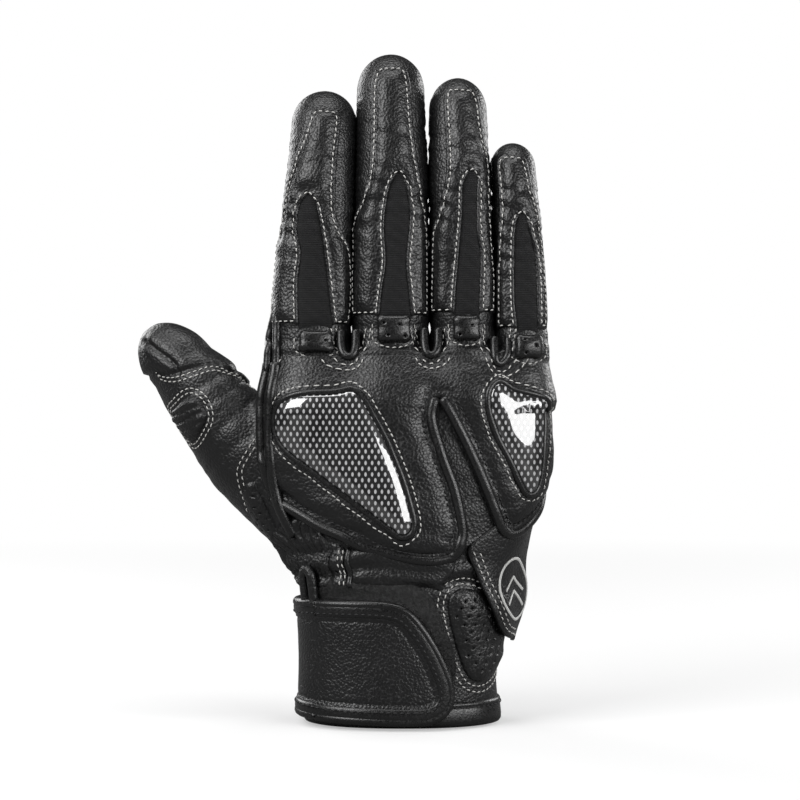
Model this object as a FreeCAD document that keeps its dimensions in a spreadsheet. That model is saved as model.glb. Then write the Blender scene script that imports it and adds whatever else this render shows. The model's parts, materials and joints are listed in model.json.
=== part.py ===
import FreeCAD, Part
import Sketcher
import os
from math import cos, radians, sin

# A short leather riding glove for the right hand, standing on its cuff.
# +Z runs from the cuff to the fingertips, -Y is the back of the hand, +Y the palm,
# and the thumb is on the -X side. The origin is the centre of the cuff's rim. Millimetres.

Vector, Rotation, Placement = FreeCAD.Vector, FreeCAD.Rotation, FreeCAD.Placement

doc = FreeCAD.newDocument("riding_glove")
sheet = doc.addObject("Spreadsheet::Sheet", "Sizes")

# ---------------------------------------------------------------- driving dimensions

# Oval stations of the hand: height, sideways shift, shift towards the palm, half width, half depth
HAND_STATIONS = {
    "cuff": (0, 0, 0, 37, 25),
    "wrist": (24, 0, 0, 36.4, 24.4),
    "strap_top": (48, 0.3, 0, 37.5, 24),
    "heel": (66, 1.2, -0.3, 43.5, 23),
    "thumb_root": (84, 2.2, -0.8, 49.3, 21.5),
    "palm": (104, 2.8, -1.2, 51.8, 19.2),
    "knuckle": (122, 3.2, -1.4, 52, 17),
    "web": (138.4, 3.5, -0.6, 51.6, 14.6),
}

# Digits: base centre x, y, z; half width and half depth at the base, the middle bend and the end bend;
# lengths from base to middle bend, to end bend, to tip; sideways shift at the middle and the end bend
DIGITS = {
    "index": (-33, 0, 139, 14.2, 12, 13.2, 11.6, 12.2, 10.8, 48, 26, 24.5, 1.3, 2.4),
    "middle": (-3.6, 0, 139, 14.4, 12.2, 13.8, 11.8, 13.1, 11, 56, 29, 27, 0, -0.1),
    "ring": (24.2, 0, 139, 12.1, 11.6, 11.9, 11.2, 11.5, 10.4, 54, 25, 24, -0.6, -1.1),
    "little": (46.5, 0, 139, 9.7, 9.6, 9.3, 9.2, 8.7, 8.4, 38.2, 20, 21, -0.6, -1.1),
    "thumb": (-60, 11, 100, 16.6, 14, 14.4, 12.8, 12.6, 11.2, 27, 13, 18, 0.6, 1.2),
}
DIGIT_FIELDS = (
    "centre_x", "centre_y", "centre_z", "base_half_width", "base_half_depth",
    "mid_half_width", "mid_half_depth", "end_half_width", "end_half_depth",
    "base_length", "mid_length", "tip_length", "mid_shift", "end_shift",
)
FINGERS = ("index", "middle", "ring", "little")

SIZES = {
    "wall": 1.6,              # leather and its facing
    "overlay": 1.2,           # a panel sewn on top of a wall
    "joint_gap": 0.2,         # half the cut between two bodies
    "panel_floor": 0.1,
    "panel_top": 2.1,
    "guard_height": 7.5,
    "large_guard_bevel": 2,
    "small_guard_bevel": 1.5,
    "guard_top": 6.2,
    "foam_top": 1.4,
    "piping_radius": 1.5,
    "side_piping_radius": 1.7,
    "hem_height": 9,
    "hem_top": 0.8,
    "loop_floor": 0.15,
    "loop_top": 0.8,
    "hook_top": 1.6,
    "strap_top_offset": 3.6,
    "strap_binding_top": 4.3,
    "strap_low": 0.8,
    "strap_high": 47,
    "binding_width": 4,
    "tab_thickness": 2,
    "vent_tab_height": 9,
    "insert_half_width": 4.6,
    "web_roll_radius": 1.6,
    "web_roll_length": 22,
    "pull_loop_width": 5,
    "pull_loop_height": 9.5,
    "pull_loop_thickness": 1.4,
}
SIZES.update({
    f"{station}_{field}": value
    for station, values in HAND_STATIONS.items()
    for field, value in zip(("height", "shift", "set", "half_width", "half_depth"), values)
})
SIZES.update({
    f"{digit}_{field}": value
    for digit, values in DIGITS.items()
    for field, value in zip(DIGIT_FIELDS, values)
})
for row, (alias, value) in enumerate(SIZES.items(), 1):
    sheet.set(f"A{row}", alias.replace("_", " "))
    sheet.set(f"B{row}", str(value))
    sheet.setAlias(f"B{row}", alias)
doc.recompute()


def size(alias):
    return float(getattr(sheet, alias))


# Fixed shape values that are angles, shares or the reach of a cutter
REACH = 90              # a cutter's reach past the part
MID_TILT = 5            # how far each section of a resting digit leans to the palm, in degrees
END_TILT = 11
TIP_TILT = 16
STEPS_TO_DOME = 3       # sections between the middle bend and the dome
DOME_ANGLES = (22, 42, 60, 75)
BACK_SHARE = 0.62       # a digit's back and palm panels cover this share of its width
THUMB_AXIS = Vector(-0.56, 0.12, 0.82)
THUMB_PALMAR = Vector(0.62, 0.70, 0.34)

parts = {}              # node name -> document object to export

# ---------------------------------------------------------------- small builders


def bind(thing, **expressions):
    """Binds properties to spreadsheet expressions; a double underscore stands for a dot."""
    for name, expression in expressions.items():
        thing.setExpression(name.replace("__", "."), expression)
    return thing


def oval(name, x_radius, y_radius, placement):
    ring = doc.addObject("Part::Ellipse", name)
    bind(ring, MajorRadius=x_radius, MinorRadius=y_radius)
    ring.Placement = placement
    return ring


def loft(name, rings):
    body = doc.addObject("Part::Loft", name)
    body.Sections = rings
    body.Solid = True
    body.Ruled = False
    return body


def cut(name, base, tool):
    result = doc.addObject("Part::Cut", name)
    result.Base, result.Tool = base, tool
    return result


def common(name, base, tool):
    result = doc.addObject("Part::Common", name)
    result.Base, result.Tool = base, tool
    return result


def fuse(name, shapes):
    result = doc.addObject("Part::MultiFuse", name)
    result.Shapes = shapes
    return result


def box(name, low, high, frame=None):
    """A box between two corners, in the frame given or in the glove's own."""
    block = doc.addObject("Part::Box", name)
    block.Length, block.Width, block.Height = (high[i] - low[i] for i in range(3))
    place = Placement(Vector(*low), Rotation())
    block.Placement = frame.multiply(place) if frame else place
    return block


def prism(name, edges, depth_from, depth_to, frame=None):
    """An outline in X and Z, extruded along Y, in the frame given or in the glove's own."""
    frame = frame or Placement()
    sketch = doc.addObject("Sketcher::SketchObject", f"{name}_sketch")
    sketch.Placement = frame.multiply(Placement(Vector(0, depth_to, 0), Rotation(Vector(1, 0, 0), 90)))
    sketch.addGeometry(edges, False)
    solid = doc.addObject("Part::Extrusion", name)
    solid.Base = sketch
    solid.DirMode = "Custom"
    solid.Dir = frame.Rotation.multVec(Vector(0, -1, 0))
    solid.LengthFwd = depth_to - depth_from
    solid.Solid = True
    return solid


def smooth_loop(points):
    """One closed curve through a few outline points (x, z)."""
    curve = Part.BSplineCurve()
    curve.interpolate([Vector(x, z, 0) for x, z in points], PeriodicFlag=True)
    return [curve]


def straight_loop(points):
    """A closed outline of straight edges through points (x, z)."""
    ends = [Vector(x, z, 0) for x, z in points]
    return [Part.LineSegment(a, b) for a, b in zip(ends, ends[1:] + ends[:1])]


def node(name, result):
    result.Label = name
    parts[name] = result
    return result


def free_solid(name, shape):
    """A swept shape that no feature makes: a Part::Feature with its shape set here."""
    feature = doc.addObject("Part::Feature", name)
    feature.Shape = shape
    return node(name, feature)


# ---------------------------------------------------------------- the hand's layers


def hand_layer(name, offset):
    """The hand's outer form, grown by an offset expression."""
    rings = []
    for station in HAND_STATIONS:
        ring = oval(
            f"{name}_{station}",
            f"Sizes.{station}_half_width + {offset}",
            f"Sizes.{station}_half_depth + {offset}",
            Placement(),
        )
        bind(
            ring,
            Placement__Base__x=f"Sizes.{station}_shift",
            Placement__Base__y=f"Sizes.{station}_set",
            Placement__Base__z=f"Sizes.{station}_height",
        )
        rings.append(ring)
    return loft(name, rings)


hand_outside = hand_layer("hand_outside", "0")
hand_inside = hand_layer("hand_inside", "-Sizes.wall")
panel_floor = hand_layer("panel_floor_form", "Sizes.panel_floor")
panel_top = hand_layer("panel_top_form", "Sizes.panel_top")
foam_top = hand_layer("foam_top_form", "Sizes.foam_top")
loop_floor = hand_layer("loop_floor_form", "Sizes.loop_floor")
loop_top = hand_layer("loop_top_form", "Sizes.loop_top")
hook_top = hand_layer("hook_top_form", "Sizes.hook_top")
strap_top = hand_layer("strap_top_form", "Sizes.strap_top_offset")
binding_top = hand_layer("binding_top_form", "Sizes.strap_binding_top")
lining_outside = hand_layer("lining_outside", "-Sizes.wall - 0.8")
lining_inside = hand_layer("lining_inside", "-Sizes.wall - 1.6")

hand_wall = cut("hand_wall", hand_outside, hand_inside)
panel_layer = cut("panel_layer", panel_top, panel_floor)
foam_layer = cut("foam_layer", foam_top, panel_floor)
loop_layer = cut("loop_layer", loop_top, loop_floor)
hook_layer = cut("hook_layer", hook_top, loop_top)
strap_layer = cut("strap_layer", strap_top, hook_top)
binding_layer = cut("binding_layer", binding_top, hook_top)
doc.recompute()

HEM = size("hem_height")
WEB = size("web_height")
SPLIT_Y = 0.6           # the side seam's plane, a little towards the palm
GAP = 0.15              # seam clearance between neighbouring panels


def surface_y(form, x, z, side=-1):
    """Where a line along Y meets a form's outside: side -1 is the back of the hand, 1 the palm."""
    line = Part.makeLine(Vector(x, -REACH, z), Vector(x, REACH, z))
    reach = line.common(form.Shape).BoundBox
    return reach.YMin if side < 0 else reach.YMax


# ---------------------------------------------------------------- thumb frame and root

axis = Vector(THUMB_AXIS).normalize()
palmar = (THUMB_PALMAR - axis * THUMB_PALMAR.dot(axis)).normalize()
lateral = palmar.cross(axis)
thumb_turn = Rotation(lateral, palmar, axis, "ZYX")


def digit_frame(digit):
    base = Vector(size(f"{digit}_centre_x"), size(f"{digit}_centre_y"), size(f"{digit}_centre_z"))
    return Placement(base, thumb_turn if digit == "thumb" else Rotation())


thumb_frame = digit_frame("thumb")
# The thumb's fixed root: distance behind the first bend, share of the base's width and depth, shift
THUMB_ROOT = ((44, 0.55, 0.6, 3), (24, 0.92, 0.95, 1), (0.4, 1, 1, 0))


def thumb_root_form(name, offset):
    rings = []
    for behind, wide, deep, shift in THUMB_ROOT:
        place = thumb_frame.multiply(Placement(Vector(shift, 0, -behind), Rotation()))
        rings.append(oval(
            f"{name}_{round(behind)}",
            f"Sizes.thumb_base_half_width * {wide} + {offset}",
            f"Sizes.thumb_base_half_depth * {deep} + {offset}",
            place,
        ))
    return loft(name, rings)


root_outside = thumb_root_form("thumb_root_outside", "0")
root_inside = thumb_root_form("thumb_root_inside", "-Sizes.wall")
root_clear = thumb_root_form("thumb_root_clear", "0.2")
root_wall = cut("thumb_root_wall", root_outside, root_inside)
node("thumb_root_panel", cut("thumb_root_trimmed", root_wall, panel_top))

# ---------------------------------------------------------------- hand panels

palm_half = common("palm_half", hand_wall, box(
    "palm_side", (-REACH, SPLIT_Y + GAP, HEM + GAP), (REACH, REACH, 2 * REACH)))
node("palm_panel", cut("palm_with_thumb_hole", palm_half, root_clear))

SHIRRED_RIGHT, SHIRRED_TOP = -13, 74
GUSSET_RIGHT, GUSSET_LOW, GUSSET_HIGH = -38, SHIRRED_TOP + GAP, 112
shirred_zone = box("shirred_zone", (-REACH, -REACH, 49), (SHIRRED_RIGHT, SPLIT_Y, SHIRRED_TOP))
gusset_zone = box("gusset_zone", (-REACH, -REACH, GUSSET_LOW), (GUSSET_RIGHT, SPLIT_Y, GUSSET_HIGH))
back_whole = common("back_whole", hand_wall, box(
    "back_side", (-REACH, -REACH, HEM + GAP), (REACH, SPLIT_Y, 2 * REACH)))
back_half = cut("back_half", back_whole, root_clear)
node("shirred_wrist_panel", common("shirred_part", back_half, shirred_zone))
node("thumb_gusset", common("gusset_part", back_half, gusset_zone))
node("wrist_back_panel", cut("back_rest", back_half, fuse("back_cutters", [shirred_zone, gusset_zone])))

# The main back panel: a padded overlay whose lower edge makes a W, with a deep notch in the middle
BACK_PANEL = [
    (-60, 136.5), (-60, 92), (-44, 84), (-39.6, 82), (-23.6, 73.4), (-9.4, 67), (2, 63.5), (12, 62.8),
    (17.8, 64.8), (20.4, 69), (20.4, 75), (17.8, 87.4), (13.4, 100), (9.6, 113), (10.4, 121),
    (14, 123.4), (18.8, 118), (25, 105), (31, 91.6), (35, 81), (37.6, 74.6), (40, 73.4), (47, 77),
    (54, 83.5), (62, 92), (62, 136.5),
]
back_outline = prism("back_panel_outline", straight_loop(BACK_PANEL), -REACH, -GAP)
GUARD_LARGE = [
    (-43, 110), (-39.5, 118), (-31, 121.8), (-22, 122.6), (-13.5, 121), (-8, 112), (-2, 97),
    (3, 82), (3.6, 74.5), (-2.5, 73.6), (-17, 83.6), (-31, 94), (-40, 102),
]
GUARD_SMALL = [
    (30.5, 122.6), (34, 125.6), (41.5, 123), (48.5, 120), (50.5, 113), (50, 96), (47.6, 88.4),
    (44.6, 89), (39, 101),
]


def knuckle_guard(name, outline, bevel, lift):
    """A hard shell guard: padded from its outline and bevelled up to a raised plateau."""
    body = doc.addObject("PartDesign::Body", f"{name}_body")
    plane = next(p for p in body.Origin.OriginFeatures if p.Role == "XZ_Plane")
    sketch = body.newObject("Sketcher::SketchObject", f"{name}_sketch")
    sketch.AttachmentSupport = [(plane, "")]
    sketch.MapMode = "FlatFace"
    sketch.addGeometry(smooth_loop(outline), False)
    pad = body.newObject("PartDesign::Pad", f"{name}_pad")
    pad.Profile = sketch
    bind(pad, Length="Sizes.guard_height")
    doc.recompute()
    front = min(range(len(pad.Shape.Faces)), key=lambda i: pad.Shape.Faces[i].CenterOfMass.y)
    chamfer = body.newObject("PartDesign::Chamfer", f"{name}_bevel")
    chamfer.Base = (pad, [f"Face{front + 1}"])
    bind(chamfer, Size=f"Sizes.{bevel}")
    body.Placement = lift
    doc.recompute()
    return body


def seat(outline, height, swing):
    """Sinks a guard's foot into the back of the hand, turned about Z to follow its curve."""
    x = sum(p[0] for p in outline) / len(outline)
    z = sum(p[1] for p in outline) / len(outline)
    centre = Vector(x, surface_y(panel_top, x, z) + height, z)
    lean = Rotation(Vector(0, 0, 1), swing)
    return Placement(centre, lean).multiply(Placement(Vector(-x, 0, -z), Rotation()))


# The guard's foot is cut to the hand's curve, so that it sits on its foam, and its top eased to it
guard_top = hand_layer("guard_top_form", "Sizes.guard_top")
large_body = knuckle_guard("knuckle_guard_large", GUARD_LARGE, "large_guard_bevel", seat(GUARD_LARGE, 2.4, -11))
small_body = knuckle_guard("knuckle_guard_small", GUARD_SMALL, "small_guard_bevel", seat(GUARD_SMALL, 3.2, 32))
large_eased = common("large_guard_eased", large_body, guard_top)
small_eased = common("small_guard_eased", small_body, guard_top)
node("large_knuckle_guard", cut("large_guard_trimmed", large_eased, foam_top))
node("small_knuckle_guard", cut("small_guard_trimmed", small_eased, foam_top))
doc.recompute()

guards = fuse("guard_windows", [large_body, small_body])
panel_cutters = fuse("back_panel_cutters", [guards, root_clear])
back_panel_layer = common("back_panel_layer", panel_layer, back_outline)
node("back_panel", cut("back_panel_with_windows", back_panel_layer, panel_cutters))

foam_large_zone = prism("foam_large_zone", smooth_loop(GUARD_LARGE), -REACH, 0)
foam_small_zone = prism("foam_small_zone", smooth_loop(GUARD_SMALL), -REACH, 0)
foam_zone = fuse("foam_zone", [foam_large_zone, foam_small_zone])
foam_under = common("foam_under_guards", foam_layer, foam_zone)
knuckle_foams = cut("foam_in_windows", foam_under, parts["back_panel"])

# ---------------------------------------------------------------- pipings


def roll(path, radius):
    """A round cord swept along a smooth path of points."""
    curve = Part.BSplineCurve()
    curve.interpolate(path)
    wire = Part.Wire([curve.toShape()])
    start = curve.value(curve.FirstParameter)
    along = curve.tangent(curve.FirstParameter)[0]
    ring = Part.Wire([Part.Circle(start, along, radius).toShape()])
    cord = wire.makePipeShell([ring], True, True)
    if cord.Volume < 0:
        cord.reverse()
    return cord


def on_back(points, sink):
    return [Vector(x, surface_y(panel_top, x, z) + sink, z) for x, z in points]


LEFT_LOBE = [
    (-41, 80.5), (-31, 74.5), (-16, 67.5), (-3, 62.5), (9, 60.2), (18.6, 62.2), (22.6, 68.4), (22.4, 76),
    (18.8, 91.2), (13.4, 106.2), (11.6, 114), (12.6, 119.6),
]
RIGHT_LOBE = [
    (15.4, 119.4), (18.4, 113.6), (24.8, 100.6), (30.3, 87.6), (34.1, 77.4), (38.3, 71), (44.8, 72), (51.4, 77.8),
]
piping_radius = size("piping_radius")
PIPING_SINK = 0.4       # the cords' centres lie this far under the top of the back panel's layer
doc.recompute()
panel_body = parts["back_panel"].Shape
free_solid("back_panel_piping", Part.makeCompound([
    roll(on_back(lobe, PIPING_SINK), piping_radius) for lobe in (LEFT_LOBE, RIGHT_LOBE)
]))


def side_roll(side, low, high, count=6):
    """A rolled seam down one edge of the hand, along the seam of back and palm."""
    radius = size("side_piping_radius")
    path = []
    for step in range(count):
        z = low + (high - low) * step / (count - 1)
        line = Part.makeLine(Vector(-REACH, SPLIT_Y, z), Vector(REACH, SPLIT_Y, z))
        reach = line.common(hand_outside.Shape).BoundBox
        x = reach.XMin - radius * 0.7 if side < 0 else reach.XMax + radius * 0.7
        path.append(Vector(x, SPLIT_Y + radius, z))
    return roll(path, radius).cut(hand_outside.Shape).cut(root_clear.Shape).cut(panel_body)


side_rolls = Part.makeCompound([side_roll(-1, 118, 137), side_roll(1, 84, 137)])
free_solid("side_pipings", side_rolls)

# ---------------------------------------------------------------- wrist: hem, loop field, pad, lining

hem_zone = box("hem_zone", (-REACH, -REACH, 0), (REACH, REACH, HEM))
hem_top_form = hand_layer("hem_top_form", "Sizes.hem_top")
hem_ring = cut("hem_ring", hem_top_form, hand_inside)
node("cuff_binding", common("hem_part", hem_ring, hem_zone))

LOOP_FIELD = [(-31, 11), (15, 11), (13, 36), (5, 55), (-31, 55)]
loop_zone = prism("loop_zone", straight_loop(LOOP_FIELD), -REACH, 0)
node("loop_patch", common("loop_part", loop_layer, loop_zone))

WRIST_PAD = [(23.5, 17), (36, 15.5), (37, 38), (24, 52), (17.5, 49.5), (18.6, 34)]
pad_zone = prism("pad_zone", straight_loop(WRIST_PAD), -REACH, 0)
node("wrist_pad_cover", cut("pad_cover_part", common("pad_block", panel_top, pad_zone), foam_top))
pad_foam = common("pad_foam_part", foam_layer, pad_zone)
foams = doc.addObject("Part::Compound", "foams_group")
foams.Links = [knuckle_foams, pad_foam]
node("pad_foams", foams)

lining_tube = cut("lining_tube", lining_outside, lining_inside)
lining_open = cut("lining_with_thumb_hole", lining_tube, root_clear)
node("hand_lining", common("lining_part", lining_open, box(
    "lining_zone", (-REACH, -REACH, 2), (REACH, REACH, 131))))

# ---------------------------------------------------------------- palm patches

HEEL_PATCH = [(3, 27), (26, 29), (32, 50), (33, 74), (22, 83), (5, 70)]
GRIP_PATCH = [(-30, 100), (34, 104), (44, 118), (42, 133), (-40, 133), (-42, 116)]
heel_zone = prism("heel_zone", straight_loop(HEEL_PATCH), 0, REACH)
grip_zone = prism("grip_zone", straight_loop(GRIP_PATCH), 0, REACH)
node("palm_heel_patch", common("heel_patch_part", panel_layer, heel_zone))
node("palm_grip_patch", common("grip_patch_part", loop_layer, grip_zone))

# ---------------------------------------------------------------- web rolls between the fingers


def web_roll(left, right):
    """The folded seam at the foot of the gap between two fingers, as a short cord along Y."""
    gap_x = (size(f"{left}_centre_x") + size(f"{left}_base_half_width")
             + size(f"{right}_centre_x") - size(f"{right}_base_half_width")) / 2
    cord = doc.addObject("Part::Cylinder", f"web_roll_{left}_{right}")
    bind(cord, Radius="Sizes.web_roll_radius", Height="Sizes.web_roll_length")
    start = Vector(gap_x, -size("web_roll_length") / 2 - 1, WEB - size("web_roll_radius") - 0.2)
    cord.Placement = Placement(start, Rotation(Vector(1, 0, 0), -90))
    return cord


rolls = doc.addObject("Part::Compound", "web_rolls_group")
rolls.Links = [web_roll(a, b) for a, b in zip(FINGERS, FINGERS[1:])]
node("web_rolls", common("web_rolls_inside", rolls, hand_inside))

# ---------------------------------------------------------------- strap, on its own body

STRAP = [
    (-REACH, size("strap_low")), (12, size("strap_low")), (16.2, 4), (16.8, 14), (13, 28), (5, 41.5), (-3, 46.4),
    (-10, size("strap_high")), (-REACH, size("strap_high")),
]
strap_zone = prism("strap_zone", straight_loop(STRAP), -REACH, -GAP)
edge = size("binding_width")
STRAP_FIELD = [
    (-REACH, size("strap_low") + edge), (11, size("strap_low") + edge), (12.6, 8), (12.8, 14), (9.2, 26),
    (2, 38), (-5, 42.6), (-11, size("strap_high") - edge), (-REACH, size("strap_high") - edge),
]
field_zone = prism("strap_field_zone", straight_loop(STRAP_FIELD), -REACH, -GAP)
node("wrist_strap", common("strap_part", strap_layer, field_zone))
edge_zone = cut("strap_edge_zone", strap_zone, field_zone)
node("strap_binding", common("strap_binding_part", binding_layer, edge_zone))
HOOK = [(-24, 14), (8, 14), (7, 26), (0, 38), (-24, 40)]
hook_zone = prism("hook_zone", straight_loop(HOOK), -REACH, -GAP)
node("strap_hook_pad", common("hook_part", hook_layer, hook_zone))
anchor_zone = prism("anchor_zone", straight_loop(
    [(-REACH, size("strap_low")), (-12, size("strap_low")), (-12, size("strap_high")), (-REACH, size("strap_high"))]),
    GAP, REACH)
node("strap_anchor", common("anchor_part", strap_layer, anchor_zone))

# ---------------------------------------------------------------- side tab and pull loop

TAB = [
    (24.4, 67), (33, 45), (38.3, 35.3), (41.4, 32.8), (44, 34.2), (46, 51.5), (50, 65), (52.4, 75),
    (46.5, 71), (40, 68.2), (34.6, 69.6),
]
tab_floor = hand_layer("tab_floor_form", "Sizes.panel_top + 0.2")
tab_top = hand_layer("tab_top_form", "Sizes.panel_top + 0.2 + Sizes.tab_thickness")
emblem_top = hand_layer("emblem_top_form", "Sizes.panel_top + 0.8 + Sizes.tab_thickness")
tab_zone = prism("tab_zone", straight_loop(TAB), -REACH, -GAP)
node("side_tab", common("tab_part", cut("tab_layer", tab_top, tab_floor), tab_zone))
EMBLEM_CENTRE, EMBLEM_RADII = (40.6, 52.5), (4.6, 9)
emblem_curve = Part.Ellipse(Vector(*EMBLEM_CENTRE, 0), EMBLEM_RADII[1], EMBLEM_RADII[0])
emblem_curve.rotate(Placement(Vector(*EMBLEM_CENTRE, 0), Rotation(Vector(0, 0, 1), 90)))
emblem_zone = prism("emblem_zone", [emblem_curve], -REACH, -GAP)
node("tab_emblem", common("emblem_part", cut("emblem_layer", emblem_top, tab_top), emblem_zone))

LOOP_FOOT = Vector(-36.7, -14.2, 49.2)
LOOP_TURN = -52         # the loop's plane follows the wrist's curve, in degrees about Z
LOOP_LEAN = 14          # and leans out with the widening hand
loop_body = doc.addObject("PartDesign::Body", "pull_loop_body")
loop_plane = next(p for p in loop_body.Origin.OriginFeatures if p.Role == "XZ_Plane")
loop_sketch = loop_body.newObject("Sketcher::SketchObject", "pull_loop_sketch")
loop_sketch.AttachmentSupport = [(loop_plane, "")]
loop_sketch.MapMode = "FlatFace"
loop_half = size("pull_loop_width") / 2
for name, radius in (("outer", loop_half), ("inner", loop_half - size("pull_loop_thickness"))):
    top = size("pull_loop_height") - loop_half
    first = loop_sketch.GeometryCount
    loop_sketch.addGeometry([
        Part.ArcOfCircle(Part.Circle(Vector(0, top, 0), Vector(0, 0, 1), radius), 0, radians(180)),
        Part.LineSegment(Vector(-radius, top, 0), Vector(-radius, 0, 0)),
        Part.LineSegment(Vector(radius, top, 0), Vector(radius, 0, 0)),
    ], False)
for x in (-1, 1):
    inner = x * (loop_half - size("pull_loop_thickness"))
    loop_sketch.addGeometry(Part.LineSegment(Vector(x * loop_half, 0, 0), Vector(inner, 0, 0)), False)
loop_pad = loop_body.newObject("PartDesign::Pad", "pull_loop_pad")
loop_pad.Profile = loop_sketch
loop_pad.Midplane = True
bind(loop_pad, Length="Sizes.pull_loop_width * 0.8")
loop_turn = Rotation(Vector(0, 0, 1), LOOP_TURN)
loop_body.Placement = Placement(LOOP_FOOT, loop_turn.multiply(Rotation(Vector(1, 0, 0), LOOP_LEAN)))
node("pull_loop", loop_body)
doc.recompute()

# ---------------------------------------------------------------- digits


def lean(digit, stage):
    """Where a digit's spine is at a stage, in the digit's frame: (sideways, to the palm, up, tilt)."""
    gap = size("joint_gap")
    base, middle, tip = (size(f"{digit}_{part}_length") for part in ("base", "mid", "tip"))
    mid_y = base * sin(radians(MID_TILT / 2))
    end_y = mid_y + middle * sin(radians((MID_TILT + END_TILT) / 2))
    tip_y = end_y + tip * sin(radians((END_TILT + TIP_TILT) / 2))
    stages = {
        "base": (0, 0, gap, 0),
        "mid": (size(f"{digit}_mid_shift"), mid_y, base, MID_TILT),
        "end": (size(f"{digit}_end_shift"), end_y, base + middle, END_TILT),
        "tip": (size(f"{digit}_end_shift"), tip_y, base + middle + tip, TIP_TILT),
    }
    return stages[stage]


def section(name, digit, x, y, z, tilt, half_width, half_depth):
    place = Placement(Vector(x, y, z), Rotation(Vector(1, 0, 0), -tilt))
    return oval(name, half_width, half_depth, digit_frame(digit).multiply(place))


def digit_base_form(digit, label, offset):
    """The lower tube of a digit, from its base bend to its middle bend."""
    gap = size("joint_gap")
    rings = []
    for stage in ("base", "mid"):
        x, y, z, tilt = lean(digit, stage)
        drop = 0 if stage == "base" else gap
        rings.append(section(
            f"{digit}_{label}_{stage}", digit, x, y, z - drop, tilt,
            f"Sizes.{digit}_{stage}_half_width + {offset}", f"Sizes.{digit}_{stage}_half_depth + {offset}"))
    return loft(f"{digit}_{label}_form", rings)


def digit_tip_form(digit, label, offset, inset):
    """The upper tube of a digit, from its middle bend to its domed tip."""
    start, end, tip = (lean(digit, stage) for stage in ("mid", "end", "tip"))
    gap = size("joint_gap")
    rings = []
    for step in range(STEPS_TO_DOME + 1):
        share = step / STEPS_TO_DOME
        x, y, z, tilt = (a + (b - a) * share for a, b in zip(start, end))
        width, depth = (
            f"Sizes.{digit}_mid_{way} * {1 - share:.4f} + Sizes.{digit}_end_{way} * {share:.4f} + {offset}"
            for way in ("half_width", "half_depth"))
        rise = 0 if step else gap
        rings.append(section(f"{digit}_{label}_{step}", digit, x, y, z + rise, tilt, width, depth))
    dome = size(f"{digit}_end_half_width") * 1.25
    run = size(f"{digit}_tip_length")
    for angle in DOME_ANGLES:
        share = (run - dome * (1 - sin(radians(angle))) - inset) / run
        if dome * sin(radians(angle)) < inset:
            continue
        x, y, z, tilt = (a + (b - a) * share for a, b in zip(end, tip))
        shrink = f" * {cos(radians(angle)):.4f}"
        rings.append(section(
            f"{digit}_{label}_{angle}", digit, x, y, z, tilt,
            f"(Sizes.{digit}_end_half_width + {offset})" + shrink,
            f"(Sizes.{digit}_end_half_depth + {offset})" + shrink))
    return loft(f"{digit}_{label}_form", rings)


def taper(half_low, half_high, low, high):
    """A tapered outline with its top corners eased, in a digit's own X and Z."""
    ease = half_high * 0.6
    return straight_loop([
        (-half_low, low), (half_low, low), (half_high, high - ease), (half_high - ease, high),
        (ease - half_high, high), (-half_high, high - ease),
    ])


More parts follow.
